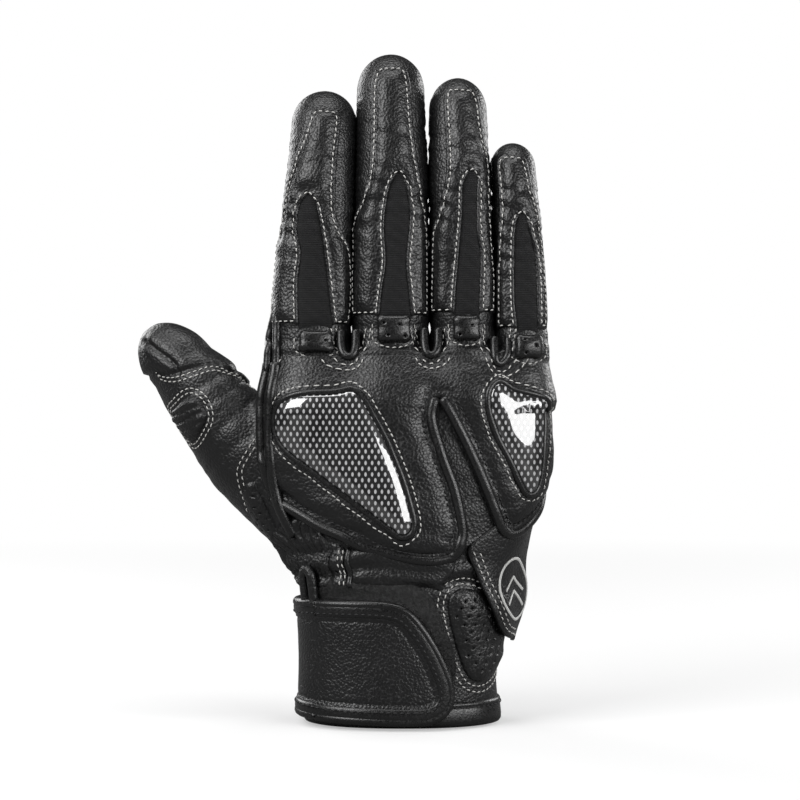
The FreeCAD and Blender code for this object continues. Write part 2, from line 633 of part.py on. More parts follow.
def build_digit(digit):
    """A digit's panels: palm face, side walls, back overlay and stretch strip, then the tip's two."""
    frame = digit_frame(digit)
    half = BACK_SHARE * size(f"{digit}_mid_half_width")
    length = size(f"{digit}_base_length")
    vent_top = size("vent_tab_height")
    strip = size("insert_half_width") * (0.8 if digit == "little" else 1)
    outside = digit_base_form(digit, "base_outside", "0")
    inside = digit_base_form(digit, "base_inside", "-Sizes.wall")
    raised = digit_base_form(digit, "base_raised", "Sizes.overlay")
    wall = cut(f"{digit}_base_wall", outside, inside)
    raised_wall = cut(f"{digit}_raised_wall", raised, inside)
    middle = box(f"{digit}_middle", (-half, -REACH, -5), (half, REACH, REACH), frame)
    palm_side = box(f"{digit}_palm_side", (-half + GAP, 0, -5), (half - GAP, REACH, REACH), frame)
    back_side = box(f"{digit}_back_side", (-half + GAP, -REACH, -5), (half - GAP, -GAP, REACH), frame)
    node(f"{digit}_palm_face", common(f"{digit}_palm_part", wall, palm_side))
    side_walls = cut(f"{digit}_side_part", wall, middle)
    if digit == "thumb":
        gather = box("thumb_gather_zone", (-7, -REACH, length - 16), (7, -GAP, REACH), frame)
        node("thumb_knuckle_gather", common("thumb_gather_part", raised_wall, gather))
        plain = common("thumb_back_part", wall, back_side)
        node("thumb_back_panel", cut("thumb_back_rest", plain, gather))
        node("thumb_side_walls", side_walls)
    else:
        strip_zone = prism(
            f"{digit}_strip", taper(strip, strip * 0.62, vent_top, length + 4), -REACH, -GAP, frame)
        vent_zone = box(f"{digit}_vent", (-strip - 0.8, -REACH, 0), (strip + 0.8, -GAP, vent_top - GAP), frame)
        low = box(f"{digit}_low", (-REACH, -REACH, -5), (REACH, REACH, vent_top - 1), frame)
        node(f"{digit}_stretch_insert", common(f"{digit}_strip_part", wall, strip_zone))
        node(f"{digit}_vent_tab", common(f"{digit}_vent_part", raised_wall, vent_zone))
        legs = common(f"{digit}_back_part", raised_wall, back_side)
        clear = fuse(f"{digit}_clear", [strip_zone, vent_zone, low])
        node(f"{digit}_base_overlay", cut(f"{digit}_legs", legs, clear))
        foot_back = common(f"{digit}_foot_back", wall, back_side)
        foot = cut(f"{digit}_foot", common(f"{digit}_foot_part", foot_back, low), vent_zone)
        node(f"{digit}_side_walls", fuse(f"{digit}_side_and_foot", [side_walls, foot]))
    tip_outside = digit_tip_form(digit, "tip_outside", "0", 0)
    tip_inside = digit_tip_form(digit, "tip_inside", "-Sizes.wall", size("wall"))
    tip_raised = digit_tip_form(digit, "tip_raised", "Sizes.overlay", 0)
    tip_top = length + size(f"{digit}_mid_length") + size(f"{digit}_tip_length") - 8
    narrow = 0.62 * half
    overlay_zone = prism(
        f"{digit}_overlay_zone", taper(half, narrow, length - 4, tip_top), -REACH, -GAP, frame)
    cap_zone = prism(
        f"{digit}_cap_zone", taper(half + GAP, narrow + GAP, length - 4, tip_top + GAP), -REACH, 0, frame)
    tip_wall = cut(f"{digit}_tip_wall", tip_outside, tip_inside)
    tip_raised_wall = cut(f"{digit}_tip_raised_wall", tip_raised, tip_inside)
    node(f"{digit}_tip_overlay", common(f"{digit}_tip_overlay_part", tip_raised_wall, overlay_zone))
    cap_name = "thumb_tip_cap" if digit == "thumb" else f"{digit}_fingertip_cap"
    node(cap_name, cut(f"{digit}_cap_part", tip_wall, cap_zone))


for digit in DIGITS:
    build_digit(digit)
doc.recompute()

# ---------------------------------------------------------------- checks and export

for thing in doc.Objects:
    if "Invalid" in thing.State or "Error" in thing.State:
        raise RuntimeError(f"{thing.Name} ({thing.Label}) failed: {thing.State}")
os.makedirs("parts", exist_ok=True)
for stale in os.listdir("parts"):
    if stale.endswith(".step") and stale[:-5] not in parts:
        os.remove(os.path.join("parts", stale))
for name, thing in parts.items():
    shape = thing.Shape
    if shape.isNull() or not shape.isValid() or not shape.Solids:
        raise RuntimeError(f"{name} has no valid solid")
    thing.Label = name
    shape.exportStep(os.path.join("parts", f"{name}.step"))
print(f"{len(parts)} parts")
for thing in sorted(parts):
    solids = parts[thing].Shape.Solids
    print(f"  {thing}: {len(solids)} solid(s), {sum(s.Volume for s in solids):.1f} mm3")
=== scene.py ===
import json
import math
import bmesh
import bpy
import numpy as np
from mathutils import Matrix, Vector
from mathutils.geometry import delaunay_2d_cdt


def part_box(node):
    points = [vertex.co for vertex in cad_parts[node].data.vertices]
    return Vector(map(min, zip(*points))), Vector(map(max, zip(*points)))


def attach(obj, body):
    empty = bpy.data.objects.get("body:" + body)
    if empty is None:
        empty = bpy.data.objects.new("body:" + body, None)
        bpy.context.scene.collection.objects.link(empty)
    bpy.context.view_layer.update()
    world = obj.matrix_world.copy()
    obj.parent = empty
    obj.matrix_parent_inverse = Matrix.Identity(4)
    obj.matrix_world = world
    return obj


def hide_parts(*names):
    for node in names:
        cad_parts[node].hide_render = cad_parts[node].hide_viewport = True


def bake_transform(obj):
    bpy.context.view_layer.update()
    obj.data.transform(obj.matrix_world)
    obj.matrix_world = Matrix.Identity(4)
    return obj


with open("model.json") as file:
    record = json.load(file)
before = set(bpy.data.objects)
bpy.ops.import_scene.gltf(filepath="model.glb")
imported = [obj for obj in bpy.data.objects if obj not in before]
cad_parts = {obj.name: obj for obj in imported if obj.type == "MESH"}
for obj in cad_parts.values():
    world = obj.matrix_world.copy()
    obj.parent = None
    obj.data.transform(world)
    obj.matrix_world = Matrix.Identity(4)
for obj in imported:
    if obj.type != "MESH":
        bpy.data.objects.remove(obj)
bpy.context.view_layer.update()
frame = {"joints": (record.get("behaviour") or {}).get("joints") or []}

# A short leather riding glove for the right hand. Shapes are worked out in millimetres in the row
# frame and turned into metres as each mesh is made. -Y is the back of the hand, -X the thumb.

MM = 0.001
RANDOM = np.random.default_rng(7)
TURN = 6.2832
STITCH_PITCH = 2.3
STITCH_LENGTH = 1.55
STITCH_RADIUS = 0.21

# ------------------------------------------------------------------ smooth tables and fields


def smooth_table(xs, ys, step=0.5):
    """A smooth function through a few stations, without overshoot."""
    xs, ys = np.array(xs, float), np.array(ys, float)
    rise = np.diff(ys) / np.diff(xs)
    slope = np.zeros(len(xs))
    slope[0], slope[-1] = rise[0], rise[-1]
    product = rise[:-1] * rise[1:]
    total = rise[:-1] + rise[1:]
    same = product > 0
    slope[1:-1] = np.where(same, 2 * product / np.where(same, total, 1), 0)
    grid = np.arange(xs[0], xs[-1] + step, step)
    i = np.clip(np.searchsorted(xs, grid, side="right") - 1, 0, len(xs) - 2)
    h = xs[i + 1] - xs[i]
    t = np.clip((grid - xs[i]) / h, 0, 1)
    value = (
        (2 * t**3 - 3 * t**2 + 1) * ys[i]
        + (t**3 - 2 * t**2 + t) * h * slope[i]
        + (3 * t**2 - 2 * t**3) * ys[i + 1]
        + (t**3 - t**2) * h * slope[i + 1]
    )
    return lambda q: np.interp(q, grid, value)


def smooth_min(f, g, k):
    h = np.clip(0.5 + 0.5 * (g - f) / k, 0, 1)
    return g + (f - g) * h - k * h * (1 - h)


def smooth_step(low, high, value):
    t = np.clip((value - low) / (high - low), 0, 1)
    return t * t * (3 - 2 * t)


WAVES = [
    (RANDOM.normal(size=3), RANDOM.uniform(0, 6.28), length)
    for length in (34, 27, 21, 16, 13, 10.5, 8.5, 7)
]


def ripple(p):
    """A gentle unevenness of soft leather, about plus or minus 1."""
    total = np.zeros(len(p))
    for direction, phase, length in WAVES:
        d = direction / np.linalg.norm(direction)
        sway = 1.3 * np.sin(p[:, 2] * 0.11 + phase)
        total += np.sin(p @ d * 6.28 / length + phase + sway) * (length / 34) ** 0.7
    return total / 3.2


class Shell:
    """A stack of ovals along its own Z: stations are z, centre x, centre y, half width, half depth."""

    def __init__(self, stations, power=2.0, dome=None, origin=(0, 0, 0), turn=None):
        columns = np.array(stations, float).T
        self.x, self.y, self.wide, self.deep = (smooth_table(columns[0], c) for c in columns[1:])
        self.power = power
        self.dome = dome
        self.origin = np.array(origin, float)
        self.turn = np.eye(3) if turn is None else np.array(turn, float)
        self.neighbours = []
        self.foot = None
        self.limits = None
        self.bumps = []
        self.rows = np.arange(columns[0][0], columns[0][-1] + 2, 2.0)
        turns = np.linspace(0, np.pi, 241)
        x = self.wide(self.rows)[:, None] * np.sin(turns)
        round_side = np.maximum(1 - np.sin(turns) ** power, 0) ** (1 / power)
        y = self.deep(self.rows)[:, None] * np.sign(np.cos(turns)) * round_side
        run = np.cumsum(np.hypot(np.diff(x), np.diff(y)), 1)
        self.run = np.concatenate([np.zeros((len(self.rows), 1)), run], 1)
        self.turns = np.stack([np.interp(np.linspace(0, 1, 241), r / r[-1], turns) for r in self.run])

    def own(self, p):
        start, height = self.dome or (1e6, 1)
        z = np.minimum(p[:, 2], start)
        up = np.maximum(p[:, 2] - start, 0) / height
        a, b, n = self.wide(z), self.deep(z), self.power
        dx = np.abs(p[:, 0] - self.x(p[:, 2]))
        dy = np.abs(p[:, 1] - self.y(p[:, 2]))
        q = ((dx / a) ** n + (dy / b) ** n + up**n) ** (1 / n)
        q = np.maximum(q, 1e-4)
        gx = (dx / a / q) ** (n - 1) / a
        gy = (dy / b / q) ** (n - 1) / b
        gz = (up / q) ** (n - 1) / height
        f = (q - 1) / np.maximum(np.sqrt(gx**2 + gy**2 + gz**2), 1e-3)
        return f if self.foot is None else np.maximum(f, self.foot - p[:, 2])

    def field(self, p):
        f = self.own(p)
        for other, k in self.neighbours:
            f = smooth_min(f, other(p), k)
        if self.limits is not None:
            for side, gap in ((-1, self.limits - 1), (1, self.limits)):
                if 0 <= gap < len(GAP_FOOT):
                    wall = GAP_FOOT[gap] + (GAP_TOP[gap] - GAP_FOOT[gap]) * np.clip((p[:, 2] - 139) / 90,
                            0, 1)
                    f = np.maximum(f, side * (p[:, 0] - wall - GAP_LEAN[gap] * p[:, 1]) + HALF_GAP)
        for bump in self.bumps:
            f = f - bump(p)
        return f

    def ray(self, phi, z):
        """Directions from the spine; phi is 0 at the back's middle, 90 degrees at the +X edge."""
        zz = np.minimum(z, (self.dome or (1e6, 1))[0])
        a, b, n = self.wide(zz), self.deep(zz), self.power
        s = np.sin(phi)
        c = np.sign(np.cos(phi)) * np.maximum(1 - np.abs(s) ** n, 0) ** (1 / n)
        d = np.stack([a * s, -b * c, np.zeros(len(s))], 1)
        reach = np.linalg.norm(d, axis=1)
        origin = np.stack([self.x(z), self.y(z), z], 1)
        return origin, d / reach[:, None], reach

    def hit(self, phi, z):
        """Points of the surface, and their outward directions, in the shell's own frame."""
        origin, d, reach = self.ray(phi, z)
        low, high = np.zeros(len(phi)), reach * 1.6 + 10
        for _ in range(22):
            middle = (low + high) / 2
            inside = self.field(origin + d * middle[:, None]) < 0
            low = np.where(inside, middle, low)
            high = np.where(inside, high, middle)
        p = origin + d * high[:, None]
        return p, self.normal(p)

    def normal(self, p, e=0.5):
        n = np.stack([
            self.field(p + step) - self.field(p - step) for step in np.eye(3) * e
        ], 1)
        return n / np.maximum(np.linalg.norm(n, axis=1), 1e-6)[:, None]

    def look_up(self, table, z, share):
        """A value between the rows and columns of a table; share runs from 0 to 1 along a row."""
        z = np.minimum(z, (self.dome or (1e6, 1))[0])
        i = np.clip((z - self.rows[0]) / 2.0, 0, len(self.rows) - 1.001)
        j = np.clip(share, 0, 1) * (table.shape[1] - 1.001)
        i0, j0 = i.astype(int), j.astype(int)
        u, v = i - i0, j - j0
        low = table[i0, j0] * (1 - v) + table[i0, j0 + 1] * v
        high = table[i0 + 1, j0] * (1 - v) + table[i0 + 1, j0 + 1] * v
        return low * (1 - u) + high * u

    def half(self, z):
        """Half the way round the shell."""
        return self.look_up(self.run, z, np.ones(len(z)))

    def angle(self, u, z):
        """The angle of a distance u measured round the shell; u is x at the back's middle."""
        s = u - self.x(z)
        return np.sign(s) * self.look_up(self.turns, z, np.abs(s) / self.half(z))

    def flat(self, points):
        """Points seen from the back, (x, z), as unrolled points (u, z). Past the edge, x is a distance."""
        x, z = np.array(points, float).T
        zz = np.minimum(z, (self.dome or (1e6, 1))[0])
        s, a = x - self.x(z), self.wide(zz)
        turn = np.arcsin(np.minimum(np.abs(s) / a, 1))
        u = self.look_up(self.run, z, turn / np.pi) + np.maximum(np.abs(s) - a, 0)
        return np.stack([self.x(z) + np.sign(s) * u, z], 1)

    def seen(self, points):
        """Unrolled (u, z) of places seen from the back at (x, z), on the form merged with its neighbours."""
        x, z = np.array(points, float).T
        p = np.stack([x, np.full(len(x), -50.0), z], 1)
        for _ in range(70):
            p[:, 1] += np.clip(self.field(p) * 0.75, 0.01, 5)
            p[:, 1] = np.minimum(p[:, 1], 40)
        return self.unrolled(p)

    def surface(self, u, z):
        """World points and directions for unrolled (u, z)."""
        u, z = np.atleast_1d(u).astype(float), np.atleast_1d(z).astype(float)
        return self.to_world(*self.hit(self.angle(u, z), z))

    def palm_surface(self, u, z):
        """The same on the palm side, where u is x at the palm's middle."""
        u, z = np.atleast_1d(u).astype(float), np.atleast_1d(z).astype(float)
        return self.to_world(*self.hit(np.pi - self.angle(u, z), z))

    def unrolled(self, p):
        """Unrolled (u, z) of points in the shell's own frame."""
        zz = np.minimum(p[:, 2], (self.dome or (1e6, 1))[0])
        dx, dy = (p[:, 0] - self.x(p[:, 2])) / self.wide(zz), -(p[:, 1] - self.y(p[:, 2])) / self.deep(zz)
        q = np.maximum((np.abs(dx) ** self.power + np.abs(dy) ** self.power) ** (1 / self.power), 1e-6)
        turn = np.arcsin(np.clip(np.abs(dx) / q, 0, 1))
        turn = np.where(dy < 0, np.pi - turn, turn)
        return np.stack([self.x(p[:, 2]) + np.sign(dx) * self.look_up(self.run, p[:, 2], turn / np.pi),
                         p[:, 2]], 1)

    def to_world(self, p, n):
        return p @ self.turn + self.origin, n @ self.turn

    def from_view(self, x, z):
        """Unrolled coordinates of the points seen from the back at world (x, z)."""
        x, z = np.array(x, float), np.array(z, float)
        start = np.stack([x, np.full(len(x), -60.0), z], 1)
        way = np.array([0.0, 1.0, 0.0]) @ self.turn.T
        local = (start - self.origin) @ self.turn.T
        depth = np.zeros(len(x))
        for _ in range(90):
            depth += np.clip(self.own(local + way * depth[:, None]), 0.02, 6) * 0.9
            depth = np.minimum(depth, 90)
        return self.unrolled(local + way * depth[:, None])


# ------------------------------------------------------------------ the glove's form

HAND = Shell([
    (0, 0.9, 0, 36.2, 25),
    (24, 0.8, 0, 35.6, 24.2),
    (48, 0.9, -0.2, 37, 23.4),
    (66, 2.4, -0.6, 42.6, 22.4),
    (84, 2.6, -1.2, 49.4, 20.6),
    (104, 0.8, -1.8, 53.6, 18.4),
    (122, 0.6, -1.6, 53, 16.2),
    (138, 1.9, -0.4, 52, 13.4),
], power=2.25)

FINGER_STATIONS = {
    "index": [
        (120, -33.2, -0.4, 13.8, 12.8), (139, -33.4, 0, 14.5, 12.8), (152, -33.1, 0.4, 14.9, 12.6),
        (165, -32.2, 1, 14.5, 12.4), (180, -31.3, 1.6, 14.1, 12.3), (190, -30.8, 2.2, 14.2, 12.4),
        (204, -30.1, 3.4, 13.5, 12), (218, -29.3, 5.2, 12.9, 11.6), (226, -29, 6.4, 12.4, 11.2),
        (237, -28.9, 8.4, 12.4, 11.2)],
    "middle": [
        (120, -3.8, -0.4, 14.0, 13), (139, -3.8, 0, 14.8, 13), (155, -3.7, 0.4, 14.9, 12.8),
        (172, -3.5, 1.2, 14.5, 12.5), (186, -3.3, 1.9, 14.2, 12.4), (197, -3.2, 2.5, 14.3, 12.5),
        (212, -3.2, 3.8, 13.7, 12.1), (226, -3.4, 5.4, 13.3, 11.7), (238, -3.5, 7.2, 12.9, 11.3),
        (251, -3.5, 9.4, 12.9, 11.3)],
    "ring": [
        (120, 24, -0.4, 12.1, 12.4), (139, 24, 0, 12.5, 12.4), (155, 23.8, 0.4, 12.5, 12.2),
        (172, 23.4, 1.2, 12.2, 11.9), (187, 23, 1.9, 12, 11.8), (198, 22.8, 2.5, 12, 11.9),
        (212, 22.5, 3.7, 11.6, 11.4), (224, 22.2, 5.3, 11.2, 11), (231, 22.1, 6.4, 10.9, 10.7),
        (242, 22, 8.4, 10.9, 10.7)],
    "little": [
        (120, 45.6, -0.4, 9.8, 11), (137, 45.8, 0, 10.2, 10.8), (150, 45.6, 0.3, 10.3, 10.4),
        (163, 45.2, 0.9, 10, 10.1), (174, 44.7, 1.5, 9.7, 9.9), (184, 44.3, 2.1, 9.7, 9.9),
        (194, 43.8, 3, 9.3, 9.5), (203, 43.3, 4.2, 8.9, 9.2), (209, 43, 5.2, 8.6, 8.9),
        (218, 42.8, 6.8, 8.6, 8.9)],
}
DOMES = {"index": (225.5, 13.4), "middle": (238.4, 14.4), "ring": (231.2, 12.6), "little": (208.6, 10)}
GAP_FOOT = (-18.35, 11.25, 36.05)    # x of the gaps between fingers at the knuckles and 90 mm above
GAP_TOP = (-16.6, 10.7, 34.6)
GAP_LEAN = (0.03, -0.03, 0.0)        # the gaps run a little aslant through the hand
HALF_GAP = 0.17
FINGERS = ("index", "middle", "ring", "little")
JOINT_Z = {joint["name"]: joint["pos_m"][2] / MM for joint in frame["joints"]}
KNUCKLE_Z = {name: JOINT_Z[f"{name}_knuckle_bend"] for name in FINGERS}
BEND_Z = {name: JOINT_Z[f"{name}_middle_bend"] + 1 for name in FINGERS}


def capped_hand(p):
    return np.maximum(HAND.own(p), p[:, 2] - 138.5)


def lump(centre, radii, k):
    """A soft pad under the skin, as a neighbour field to merge with."""
    centre, radii = np.array(centre, float), np.array(radii, float)

    def field(p):
        q = np.linalg.norm((p - centre) / radii, axis=1)
        return (q - 1) * radii.min()
    return field, k


def crease_set(shell, height, depth, width, lean=0.0):
    """A fold across a finger at a height, deepest on the palm side."""
    def bump(p):
        line = height + lean * (p[:, 0] - shell.x(p[:, 2]))
        palm = 0.35 + 0.65 * smooth_step(-4, 6, p[:, 1] - shell.y(p[:, 2]))
        return -depth * np.exp(-((p[:, 2] - line) / width) ** 2) * palm
    return bump


def side_pleats(shell, low, high):
    """Small pleats where the soft side walls are eased into the stiffer back."""
    def bump(p):
        side = np.abs(p[:, 0] - shell.x(p[:, 2])) / shell.wide(p[:, 2])
        where = smooth_step(0.72, 0.9, side) * smooth_step(low - 4, low + 6,
                                                           p[:, 2]) * smooth_step(high - 9, high - 20,
                                                                   p[:, 2])
        wave = np.sin(p[:, 2] * 2.1 + 1.2 * np.sin(p[:, 2] * 0.37 + p[:, 0]))
        return 0.12 * where * (wave - 0.4)
    return bump


FINGER = {}
for name in FINGERS:
    shell = Shell(FINGER_STATIONS[name], dome=DOMES[name])
    shell.foot = FINGER_STATIONS[name][0][0]
    shell.limits = FINGERS.index(name)
    shell.neighbours = [(capped_hand, 5.0)]
    shell.bumps = [lambda p: 0.16 * ripple(p), side_pleats(shell, BEND_Z[name], sum(DOMES[name]))]
    bend = BEND_Z[name]
    tip = sum(DOMES[name])
    for height, depth, width, lean in (
        (bend + 1, 0.9, 1.6, 0.05), (bend - 5, 0.5, 1.4, -0.08), (bend + 6, 0.45, 1.3, 0.1),
        ((bend + tip) / 2 + 1, 0.7, 1.5, -0.05), ((bend + tip) / 2 - 4, 0.35, 1.2, 0.1),
        (KNUCKLE_Z[name] + 9, 0.7, 1.8, 0.03),
    ):
        shell.bumps.append(crease_set(shell, height, depth, width, lean))
    FINGER[name] = shell


def all_fingers(p):
    f = FINGER["index"].own(p)
    for name in FINGERS[1:]:
        f = np.minimum(f, FINGER[name].own(p))
    return f


HAND.neighbours = [
    (all_fingers, 5.0),
    lump((-27, 9, 88), (19, 13.5, 30), 8),
    lump((33, 8.5, 70), (14, 12, 34), 8),
    lump((3, 8, 124), (42, 9.5, 10), 6),
    lump((-31, -10, 121), (12, 7, 16), 6),
    lump((-3, -11, 123), (12, 7, 16), 6),
    lump((24, -10, 121), (11, 7, 15), 6),
]


def wrist_folds(p):
    """Cross folds where the wrist bends, on the back above the strap."""
    back = smooth_step(2, -6, p[:, 1])
    rows = np.sin((p[:, 2] + 0.04 * p[:, 0] + 1.2 * np.sin(p[:, 0] * 0.12)) * 6.28 / 9.5)
    return 0.75 * back * rows * smooth_step(46, 54, p[:, 2]) * smooth_step(72, 64, p[:, 2])


HAND.bumps = [lambda p: 0.35 * ripple(p), wrist_folds]

THUMB_AXIS = np.array([-0.56, 0.12, 0.82])
THUMB_AXIS /= np.linalg.norm(THUMB_AXIS)
THUMB_PALM = np.array([0.62, 0.70, 0.34])
THUMB_PALM -= THUMB_AXIS * (THUMB_PALM @ THUMB_AXIS)
THUMB_PALM /= np.linalg.norm(THUMB_PALM)
THUMB_TURN = np.stack([np.cross(THUMB_PALM, THUMB_AXIS), THUMB_PALM, THUMB_AXIS])
THUMB = Shell([
    (-54, 6, 0, 9, 9), (-38, 5.5, 0, 13.4, 12), (-18, 3, 0.2, 16.4, 14.4), (0, 1.2, 0.4, 18.6, 16),
    (14, 0.8, 0.6, 18.4, 15.6), (27, 0.2, 0.4, 17, 14.6), (36, -0.6, 0, 15, 13.2),
    (44, -1.6, -0.5, 12.8, 11.2),
    (62, -3.6, -1, 10, 9),
], dome=(41, 20), origin=(-60, 11, 100), turn=THUMB_TURN)
THUMB.foot = -54
THUMB_SEAM = [(-94, 134), (-92.5, 132), (-86, 131.3), (-79, 133), (-72, 134.6), (-63, 131.3), (-58, 127)]
PINCHES = [((-96.4, 140.4), (-87.4, 132.8)), ((-94.6, 144.2), (-82.4, 135.4))]


def near_segment(p, a, b):
    """Distance of points from a straight line between two points."""
    way = b - a
    t = np.clip((p - a) @ way / (way @ way), 0, 1)
    return np.linalg.norm(p - a - t[:, None] * way, axis=1)


def thumb_spot(x, z):
    """The thumb's surface, in its own frame, where it is seen at world (x, z)."""
    u, up = THUMB.from_view([x], [z]).T
    return THUMB.hit(THUMB.angle(u, up), up)[0][0]


def add_thumb_form():
    """Folds across the bends, the cap's raised edge and the two pinched ridges at its tip."""
    seam = THUMB.from_view(*np.array(THUMB_SEAM).T)
    seam = seam[np.argsort(seam[:, 0])]
    pinches = [(thumb_spot(*a), thumb_spot(*b)) for a, b in PINCHES]

    def cap(p):
        u = THUMB.unrolled(p)
        s = p[:, 2] - np.interp(u[:, 0], seam[:, 0], seam[:, 1])
        return 0.9 * smooth_step(-0.2, 1.3, s) - 0.7 * np.exp(-((s + 0.7) / 0.9) ** 2)

    def pinch(p):
        near = [near_segment(p, a, b) for a, b in pinches]
        ridges = sum(np.exp(-((d / 1.5) ** 2)) for d in near)
        between = np.exp(-((near[0] - near[1]) / 1.3) ** 2) * smooth_step(6, 3, near[0])
        return 1.5 * ridges - 1.2 * between

    THUMB.bumps = [lambda p: 0.4 * ripple(p), cap, pinch]
    for height, depth, width, lean in ((27, 1.0, 1.7, 0.06), (22, 0.5, 1.3, -0.1), (8, 0.6, 1.8, 0.25),
                                       (1, 0.8, 1.9, 0.05)):
        THUMB.bumps.append(crease_set(THUMB, height, depth, width, lean))
    THUMB.neighbours = [(lambda p: HAND.own(p @ THUMB.turn + THUMB.origin), 7.0)]


def thumb_root_field(p):
    local = (p - THUMB.origin) @ THUMB.turn.T
    return np.maximum(THUMB.own(local), local[:, 2] + 13)


HAND.neighbours.append((thumb_root_field, 7.0))
add_thumb_form()

# ------------------------------------------------------------------ meshes


def add_mesh(name, verts, faces, material):
    """A smooth-shaded object from points in mm."""
    mesh = bpy.data.meshes.new(name)
    mesh.from_pydata((np.array(verts) * MM).tolist(), [], faces)
    mesh.materials.append(material)
    mesh.polygons.foreach_set("use_smooth", [True] * len(mesh.polygons))
    mesh.update()
    obj = bpy.data.objects.new(name, mesh)
    bpy.context.scene.collection.objects.link(obj)
    return obj


def grid_faces(rows, columns, closed=True):
    faces = []
    last = columns if closed else columns - 1
    for i in range(rows - 1):
        for j in range(last):
            k = (j + 1) % columns
            faces.append((i * columns + j, i * columns + k, (i + 1) * columns + k, (i + 1) * columns + j))
    return faces


def tube_skin(name, shell, heights, count, material, lift=0.0, close_top=False, close_low=False,
              inward=False):
    """The shell's surface as rings at the given heights of its own Z."""
    z = np.repeat(np.array(heights, float), count)
    share = np.tile(np.linspace(-1, 1, count, endpoint=False), len(heights))
    p, n = shell.surface(shell.x(z) + share * shell.half(z), z)
    verts = p + n * lift
    faces = grid_faces(len(heights), count)
    if close_top:
        verts = np.vstack([verts, verts[-count:].mean(0)])
        top, first = len(verts) - 1, (len(heights) - 1) * count
        faces += [(first + j, first + (j + 1) % count, top) for j in range(count)]
    if close_low:
        verts = np.vstack([verts, verts[:count].mean(0)])
        low = len(verts) - 1
        faces += [((j + 1) % count, j, low) for j in range(count)]
    if inward:
        faces = [tuple(reversed(f)) for f in faces]
    return add_mesh(name, verts, faces, material)


def curve(points, closed=True, spacing=1.1, tension=0.5):
    """A smooth curve through a few points, resampled at even spacing."""
    p = np.array(points, float)
    if closed:
        ext = np.vstack([p[-1], p, p[0], p[1]])
    else:
        ext = np.vstack([2 * p[0] - p[1], p, 2 * p[-1] - p[-2]])
    fine = []
    t = np.linspace(0, 1, 24, endpoint=False)[:, None]
    for i in range(1, len(ext) - 2):
        a, b, c, d = ext[i - 1], ext[i], ext[i + 1], ext[i + 2]
        m0, m1 = (c - a) * tension, (d - b) * tension
        fine.append((2 * t**3 - 3 * t**2 + 1) * b + (t**3 - 2 * t**2 + t) * m0
                    + (3 * t**2 - 2 * t**3) * c + (t**3 - t**2) * m1)
    fine = np.vstack(fine + [ext[-2][None]])
    length = np.concatenate([[0], np.cumsum(np.linalg.norm(np.diff(fine, axis=0), axis=1))])
    count = max(int(round(length[-1] / spacing)), 3)
    at = np.linspace(0, length[-1], count + (0 if closed else 1), endpoint=not closed)
    return np.stack([np.interp(at, length, fine[:, k]) for k in range(p.shape[1])], 1)


def offset_curve(points, distance, closed=True):
    """The curve moved sideways: positive is to the left of its direction."""
    if closed:
        way = np.roll(points, -1, 0) - np.roll(points, 1, 0)
    else:
        way = np.gradient(points, axis=0)
    way = way / np.maximum(np.linalg.norm(way, axis=1), 1e-9)[:, None]
    return points + np.stack([-way[:, 1], way[:, 0]], 1) * distance


def edge_distance(points, outline, closed=True):
    """Distance of each point from the outline's polyline."""
    a = outline
    b = np.roll(outline, -1, 0) if closed else outline[1:]
    a = a if closed else outline[:-1]
    way = b - a
    square = np.maximum((way**2).sum(1), 1e-12)
    best = np.full(len(points), 1e9)
    for start in range(0, len(points), 4000):
        q = points[start:start + 4000, None, :] - a[None]
        t = np.clip((q * way[None]).sum(2) / square[None], 0, 1)
        gap = q - way[None] * t[..., None]
        best[start:start + 4000] = np.sqrt((gap**2).sum(2).min(1))
    return best


def inside(points, outline):
    """Whether each point is inside the closed outline."""
    x, y = points[:, 0], points[:, 1]
    odd = np.zeros(len(points), bool)
    for (x1, y1), (x2, y2) in zip(outline, np.roll(outline, -1, 0)):
        crosses = (y1 > y) != (y2 > y)
        at = x1 + (y - y1) * (x2 - x1) / (y2 - y1 + 1e-12)
        odd ^= crosses & (x < at)
    return odd


def shoulder(d, thick, run=1.1, sunk=0.4):
    """The height of a folded edge at a distance d in from it."""
    t = np.clip(d / run, 0, 1)
    return -sunk + (thick + sunk) * np.sqrt(np.maximum(1 - (1 - t) ** 2.4, 0))


